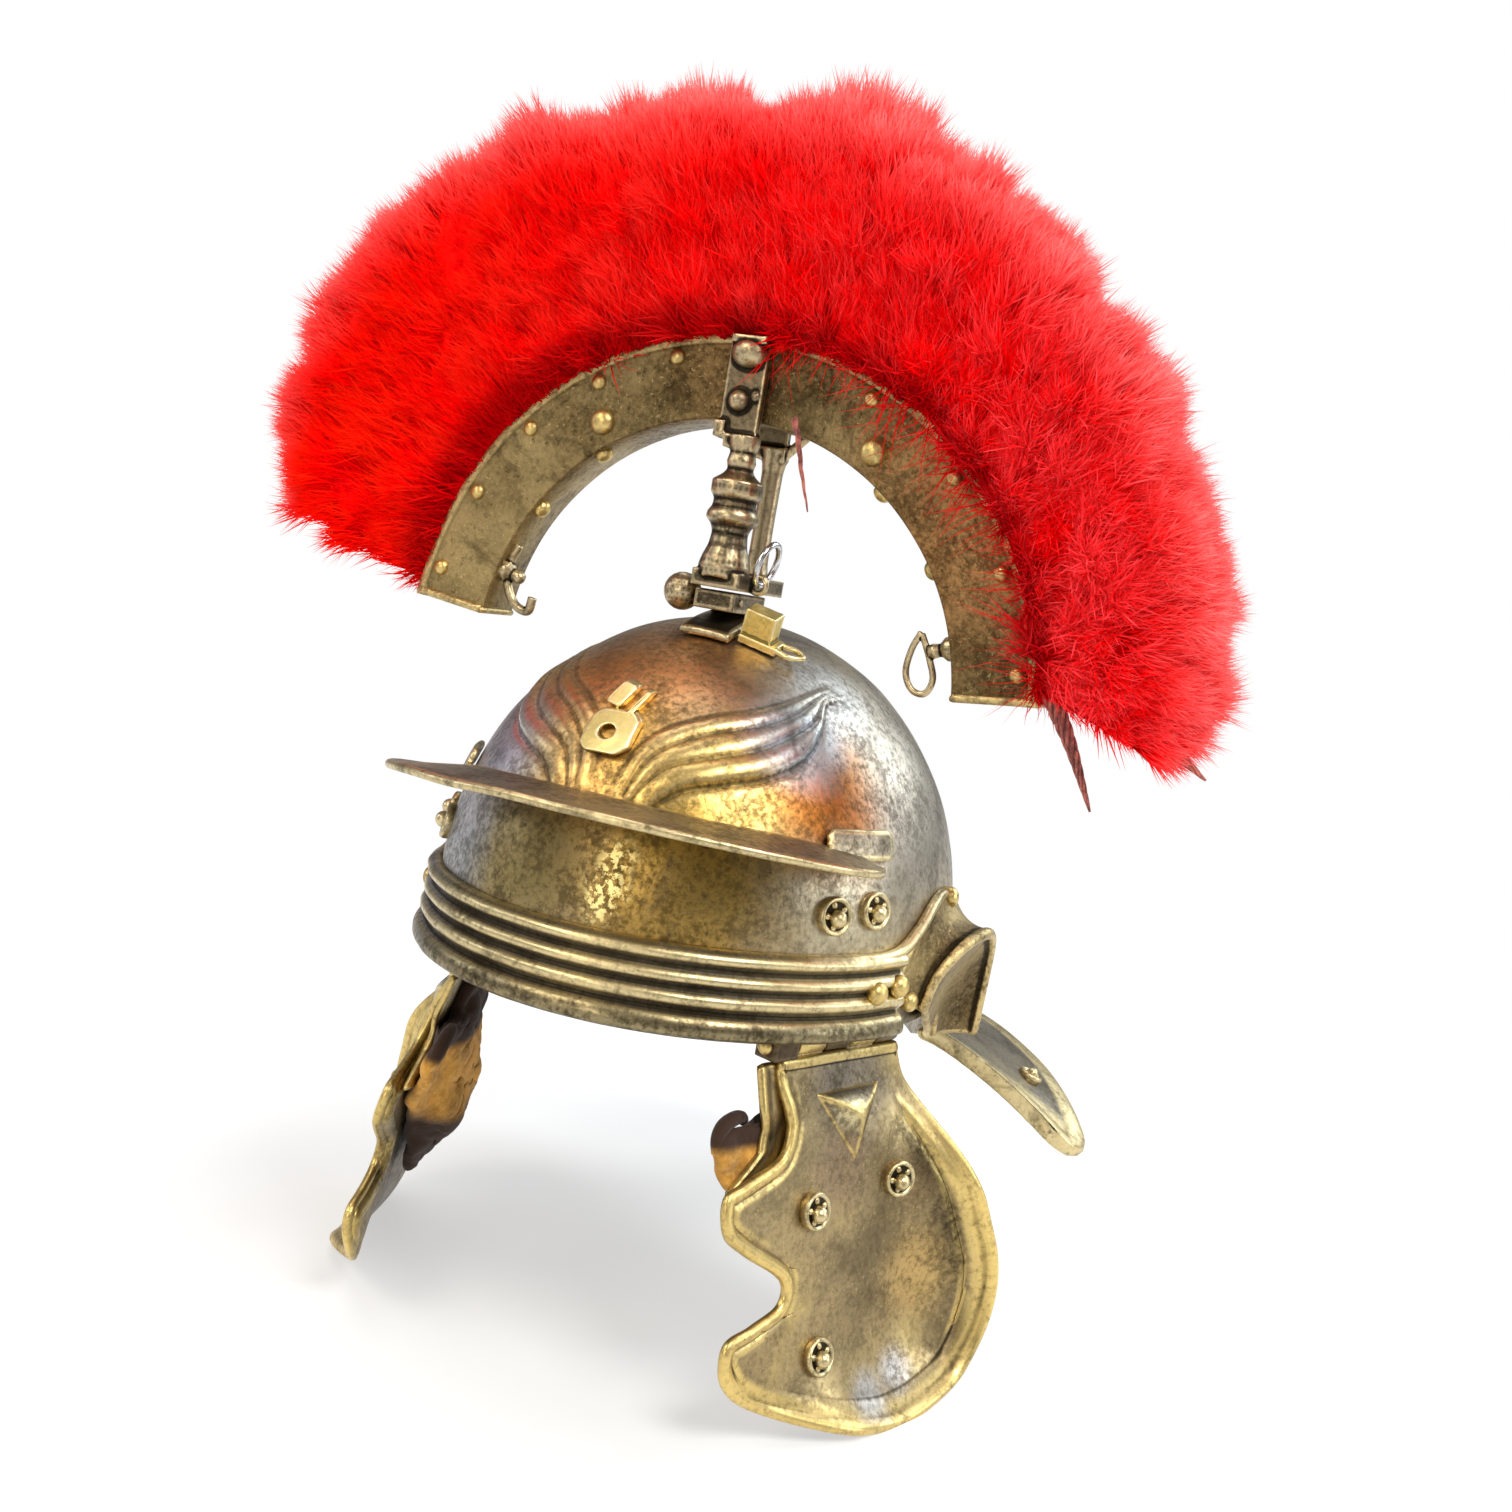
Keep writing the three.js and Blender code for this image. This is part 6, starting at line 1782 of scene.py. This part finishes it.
def make_small_fittings():
    """The keeper on the crown, and the hook and loop under the ends of the box."""
    seat = bowl_top(*np.array(KEEPER_AT), 0.1)
    up = bowl_normal(seat)
    across = unit(np.array([1.0, 0, 0]) - up * up[0])
    axes = np.stack([across, np.cross(up, across), up])
    bow = ((0, -0.5), (1.2, -0.7), (2.0, 0), (1.2, 0.7), (0, 0.5))
    path = smooth_line([(1.4 + out, aside, 0.35) for out, aside in bow], 8)
    parts = [
        block((0.3, 0, 0.28), (2.8, 1.6, 0.56)), block((0, 0.2, 1.4), (2.2, 1.5, 1.9)),
        tube(path, 0.2, 10)
    ]
    points, faces = joined(*parts)
    part = (points @ axes + seat, faces)
    cast_piece("keeper_block", [part], 0.06, "gold", ["keeper"], soften=2)
    stud = lathe([(0, -0.3), (0.8, -0.3), (0.8, 0.3), (0.42, 0.7), (0.5, 1.2), (0.4, 1.5), (0, 1.7)], 20)
    ends = ((-1, HOOK_PATH, HOOK_WIRE, "crest_end_hook"), (1, LOOP_PATH, LOOP_WIRE, "crest_end_loop"))
    for side, route, wire, node in ends:
        angle = side * END_FITTING_ANGLE
        root = crest_point(angle, CREST_INNER - GAP, END_FITTING_Y)
        inward = unit(crest_point(angle, CREST_INNER - 2, END_FITTING_Y) - root)
        path = smooth_line([(x, END_FITTING_Y, z) for x, z in route], 8)
        parts = [stand(stud, root, inward), tube(path, wire, 10)]
        cast_piece(f"{node}_wire", parts, 0.07, "iron", [node], soften=2)


class HELMET_OT_crest_metal(bpy.types.Operator):
    """Make the crest box, its fork and the small fittings on the crown"""

    bl_idname = "helmet.crest_metal"
    bl_label = "Crest box and fork"

    def execute(self, context):
        make_crest_box(context.scene.helmet_sizes.rivet / MM)
        make_fork()
        make_crown()
        make_small_fittings()
        return {"FINISHED"}


def plume_skin(first, last, columns, inset, rows=26):
    """Points of the plume's surface between two shares of its arc, set in from its tips."""
    table = np.array(PLUME_OUTLINE)
    section = smooth_line(PLUME_SECTION, 6)
    section[:, 1] = np.maximum(section[:, 1], 0.0)
    front = evenly(section, rows)
    loop = np.vstack([front * [1, -1], front[::-1][1:]])
    share = np.linspace(first, last, columns)
    root_angle = -81.5 + 163 * share
    tip_angle = -77 + 166 * share
    ends = np.minimum(1, 0.4 + np.minimum(share, 1 - share) * 14)
    tips = np.interp(tip_angle, table[:, 0], table[:, 1])
    lip = CREST_OUTER - 0.6
    pile = (tips - lip) * (0.8 + 0.2 * ends) - inset
    angle = root_angle[:, None] + (tip_angle - root_angle)[:, None] * loop[None, :, 0]
    radius = lip + pile[:, None] * loop[None, :, 0]
    thin = inset * ease(loop[None, :, 0], 0.0, 0.4)
    full = np.maximum(np.abs(loop[None, :, 1]) - thin, 0) * np.sign(loop[None, :, 1])
    half = full * (0.5 + 0.5 * ends)[:, None]
    return crest_point(angle, radius, CREST_Y + half)


def make_strays(hair):
    """Loose hairs that hang from the roots over the front of the box."""
    angle = np.linspace(4, 82, 60)
    radius = np.linspace(CREST_OUTER - 0.5, CREST_OUTER + 1.6, 4)
    grid = crest_point(angle[:, None], radius[None, :], CREST_Y - 2.6 + 0 * angle[:, None])
    values = {"strands": 420, "length": 0.0042, "width": 0.00004, "lean": -0.75, "outward": 0.55}
    values.update({"frizz": 2.4, "stray": 0.6, "tuft": 0.0, "seed": hair.seed + 40})
    grow_fur("plume_strays", grid, "fur", values)


def make_wisps():
    """Twisted locks that hang below the box and the right end of the plume."""
    parts = []
    for route, count, spread, radius in WISPS:
        line = evenly(smooth_line(route, 10), 40)
        share = np.linspace(0, 1, len(line))
        axes = facing_frame(line[-1] - line[0])
        parts.append(tube(line, spread * 0.75 * (1 - share) ** 0.8 + 0.04, 7))
        for i in range(count):
            turn = 2 * math.pi * i / count + share * 9.0
            off = spread * (1 - share) ** 0.8 + 0.03
            path = line + (off * np.cos(turn))[:, None] * axes[0]
            path = path + (off * np.sin(turn))[:, None] * axes[1]
            parts.append(tube(path, radius * (1 - 0.75 * share), 5))
    add_piece("plume_wisps", joined(*parts), "wisp", wear=False)


class HELMET_OT_plume(bpy.types.Operator):
    """Grow the fur of the crest: its dense pile, the strands on it and the loose wisps"""

    bl_idname = "helmet.plume"
    bl_label = "Fur of the crest"

    def execute(self, context):
        hair = context.scene.helmet_fur
        core = plume_skin(0.0, 1.0, 420, 1.7, 40)
        uneven = waver(core, 3.4, 1.0, 51.0) + waver(core, 1.3, 0.45, 57.0)
        middle = core.mean(1, keepdims=True)
        height = np.hypot(core[..., 0], core[..., 2] - CREST_CENTRE_Z) - CREST_OUTER
        uneven = uneven * ease(height, 0.3, 3.5)
        core = core + unit(core - middle) * uneven[..., None]
        nodes = ["crest_plume"]
        piece = add_piece("plume_pile", loft(core), "core", nodes, wear=False)
        mark_rim(piece.data)
        values = {
            key: getattr(hair, key) for key in ("strands", "length", "width", "frizz", "stray", "tuft")
        }
        values.update({"lean": 0.8, "outward": 0.6})
        for part in range(PLUME_PARTS):
            grid = plume_skin(part / PLUME_PARTS, (part + 1) / PLUME_PARTS, 60, 1.9)
            grow_fur(f"plume_fur_{part + 1}", grid, "fur", {**values, "seed": hair.seed + part})
        make_strays(hair)
        make_wisps()
        return {"FINISHED"}


def set_camera(scene, stage):
    """A camera close to the left of the face, a little above, and rolled."""
    data = bpy.data.cameras.new("camera")
    data.lens = stage.lens
    data.sensor_width = 36.0
    data.clip_start, data.clip_end = 0.005, 20.0
    camera = placed("camera", data)
    across = Vector((0.9111, 0.3775, 0.1657))
    up = Vector((-0.1932, 0.0360, 0.9805))
    back = Vector((0.3641, -0.9253, 0.1058))
    at = Vector((43.3, -104.0, 27.0)) * MM
    turn = Matrix((across, up, back)).transposed()
    camera.matrix_world = Matrix.Translation(at) @ turn.to_4x4()
    scene.camera = camera


def make_floor(stage):
    """A wide round floor just under the lowest point of the solids."""
    level = CAD_BOX[0][2] - 0.0002
    rings = [np.insert(circle(FLOOR_SIDES, radius), 2, level, axis=1) for radius in (0.02, 0.2, 1.0, 6.0)]
    points, quads = loft(rings, closed=False)
    faces = [list(range(FLOOR_SIDES)), *(quad[::-1] for quad in quads)]
    mesh = bpy.data.meshes.new("floor")
    mesh.from_pydata(points.tolist(), [], faces)
    mesh.materials.append(floor_paper(stage))
    piece = placed("floor", mesh)


def floor_paper(stage):
    """White paper that fades into the pale surround away from the helmet."""
    finish = Finish("floor_paper")
    grain = finish.between(finish.cloud(60, 4), 0.3, 0.7)
    shade = finish.mix(grain, scaled(stage.floor, 0.985), tuple(stage.floor))
    finish.close(base_color=shade, roughness=0.9)
    away = finish.add("ShaderNodeVectorMath", {0: finish.place}, operation="LENGTH").outputs["Value"]
    glow = finish.add("ShaderNodeEmission", {"Color": (1.0, 1.0, 1.0), "Strength": 1.0})
    values = {
        0: finish.between(away, 0.04, 0.25, 0.5, 1.0), 1: finish.shader.outputs[0], 2: glow.outputs[0]
    }
    both = finish.add("ShaderNodeMixShader", values)
    finish.tree.links.new(both.outputs[0], finish.tree.nodes["Material Output"].inputs["Surface"])
    return finish.material


def set_lights(stage):
    """A key from the upper right, warm light on the brow, a cool fill, and soft light from behind."""
    rows = (
        ("key", (0.24, -0.16, 0.32), 0.16, 1.0, (1.0, 0.98, 0.95)),
        ("brow", (-0.17, -0.30, 0.30), 0.16, 0.45, (1.0, 0.93, 0.8)),
        ("face", (-0.03, -0.46, 0.13), 0.12, 0.25, (1.0, 0.92, 0.78)),
        ("left", (-0.34, -0.12, 0.14), 0.16, 0.16, (0.86, 0.91, 1.0)),
        ("right", (0.40, 0.08, 0.12), 0.16, 0.36, (0.84, 0.92, 1.0)),
        ("rear", (0.22, 0.28, 0.27), 0.28, 0.8, (0.82, 0.91, 1.0)),
        ("top", (-0.12, 0.06, 0.42), 0.30, 0.55, (1.0, 1.0, 1.0)),
    )
    target = Vector((0.0, -0.002, 0.012))
    for name, at, size, power, colour in rows:
        data = bpy.data.lights.new(name, "AREA")
        data.size = size
        data.energy = power * stage.key
        data.color = colour
        lamp = placed(name, data)
        lamp.location = at
        lamp.rotation_euler = (target - Vector(at)).to_track_quat("-Z", "Y").to_euler()


def set_world(scene):
    """A pale surround for the camera, and a dimmer grey one for reflections."""
    world = bpy.data.worlds.new("studio")
    world.use_nodes = True
    tree = world.node_tree
    dim = tree.nodes["Background"]
    feed(tree, dim.inputs["Color"], (0.22, 0.22, 0.23))
    feed(tree, dim.inputs["Strength"], 1.0)
    pale = link_nodes(tree, "ShaderNodeBackground", {"Color": (1.0, 1.0, 1.0)})
    path = link_nodes(tree, "ShaderNodeLightPath", {})
    values = {0: path.outputs["Is Camera Ray"], 1: dim.outputs[0], 2: pale.outputs[0]}
    both = link_nodes(tree, "ShaderNodeMixShader", values)
    tree.links.new(both.outputs[0], tree.nodes["World Output"].inputs["Surface"])
    scene.world = world


class HELMET_OT_stage(bpy.types.Operator):
    """Set the camera, the pale floor and the soft studio lights"""

    bl_idname = "helmet.stage"
    bl_label = "Stage"

    def execute(self, context):
        scene = context.scene
        stage = scene.helmet_stage
        scene.view_settings.view_transform = "Standard"
        set_camera(scene, stage)
        make_floor(stage)
        set_lights(stage)
        set_world(scene)
        return {"FINISHED"}


class HELMET_PT_panel(bpy.types.Panel):
    """Lists the helmet's settings and the steps that make it"""

    bl_idname = "HELMET_PT_panel"
    bl_label = "Roman helmet"
    bl_space_type = "VIEW_3D"
    bl_region_type = "UI"
    bl_category = "Helmet"

    def draw(self, context):
        for group in GROUPS:
            settings = getattr(context.scene, group)
            box = self.layout.box()
            for name in settings.bl_rna.properties.keys():
                if name not in ("rna_type", "name"):
                    box.prop(settings, name)
        for operator in OPERATORS:
            self.layout.operator(operator.bl_idname)


GROUPS = {
    "helmet_colours": HelmetColours,
    "helmet_sizes": HelmetSizes,
    "helmet_fur": HelmetFur,
    "helmet_stage": HelmetStage,
}
OPERATORS = (
    HELMET_OT_stage,
    HELMET_OT_finishes,
    HELMET_OT_bowl,
    HELMET_OT_fittings,
    HELMET_OT_cheeks,
    HELMET_OT_crest_metal,
    HELMET_OT_plume,
)


def register():
    """Registers the settings, the operators and the panel."""
    for name, group in GROUPS.items():
        bpy.utils.register_class(group)
        setattr(bpy.types.Scene, name, bpy.props.PointerProperty(type=group))
    for operator in OPERATORS:
        bpy.utils.register_class(operator)
    bpy.utils.register_class(HELMET_PT_panel)


def unregister():
    """Takes away what register added."""
    bpy.utils.unregister_class(HELMET_PT_panel)
    for operator in reversed(OPERATORS):
        bpy.utils.unregister_class(operator)
    for name, group in GROUPS.items():
        delattr(bpy.types.Scene, name)
        bpy.utils.unregister_class(group)


def main():
    """Makes the stage and every piece."""
    register()
    for operator in OPERATORS:
        getattr(bpy.ops.helmet, operator.bl_idname.split(".")[1])()


if __name__ == "__main__":
    main()
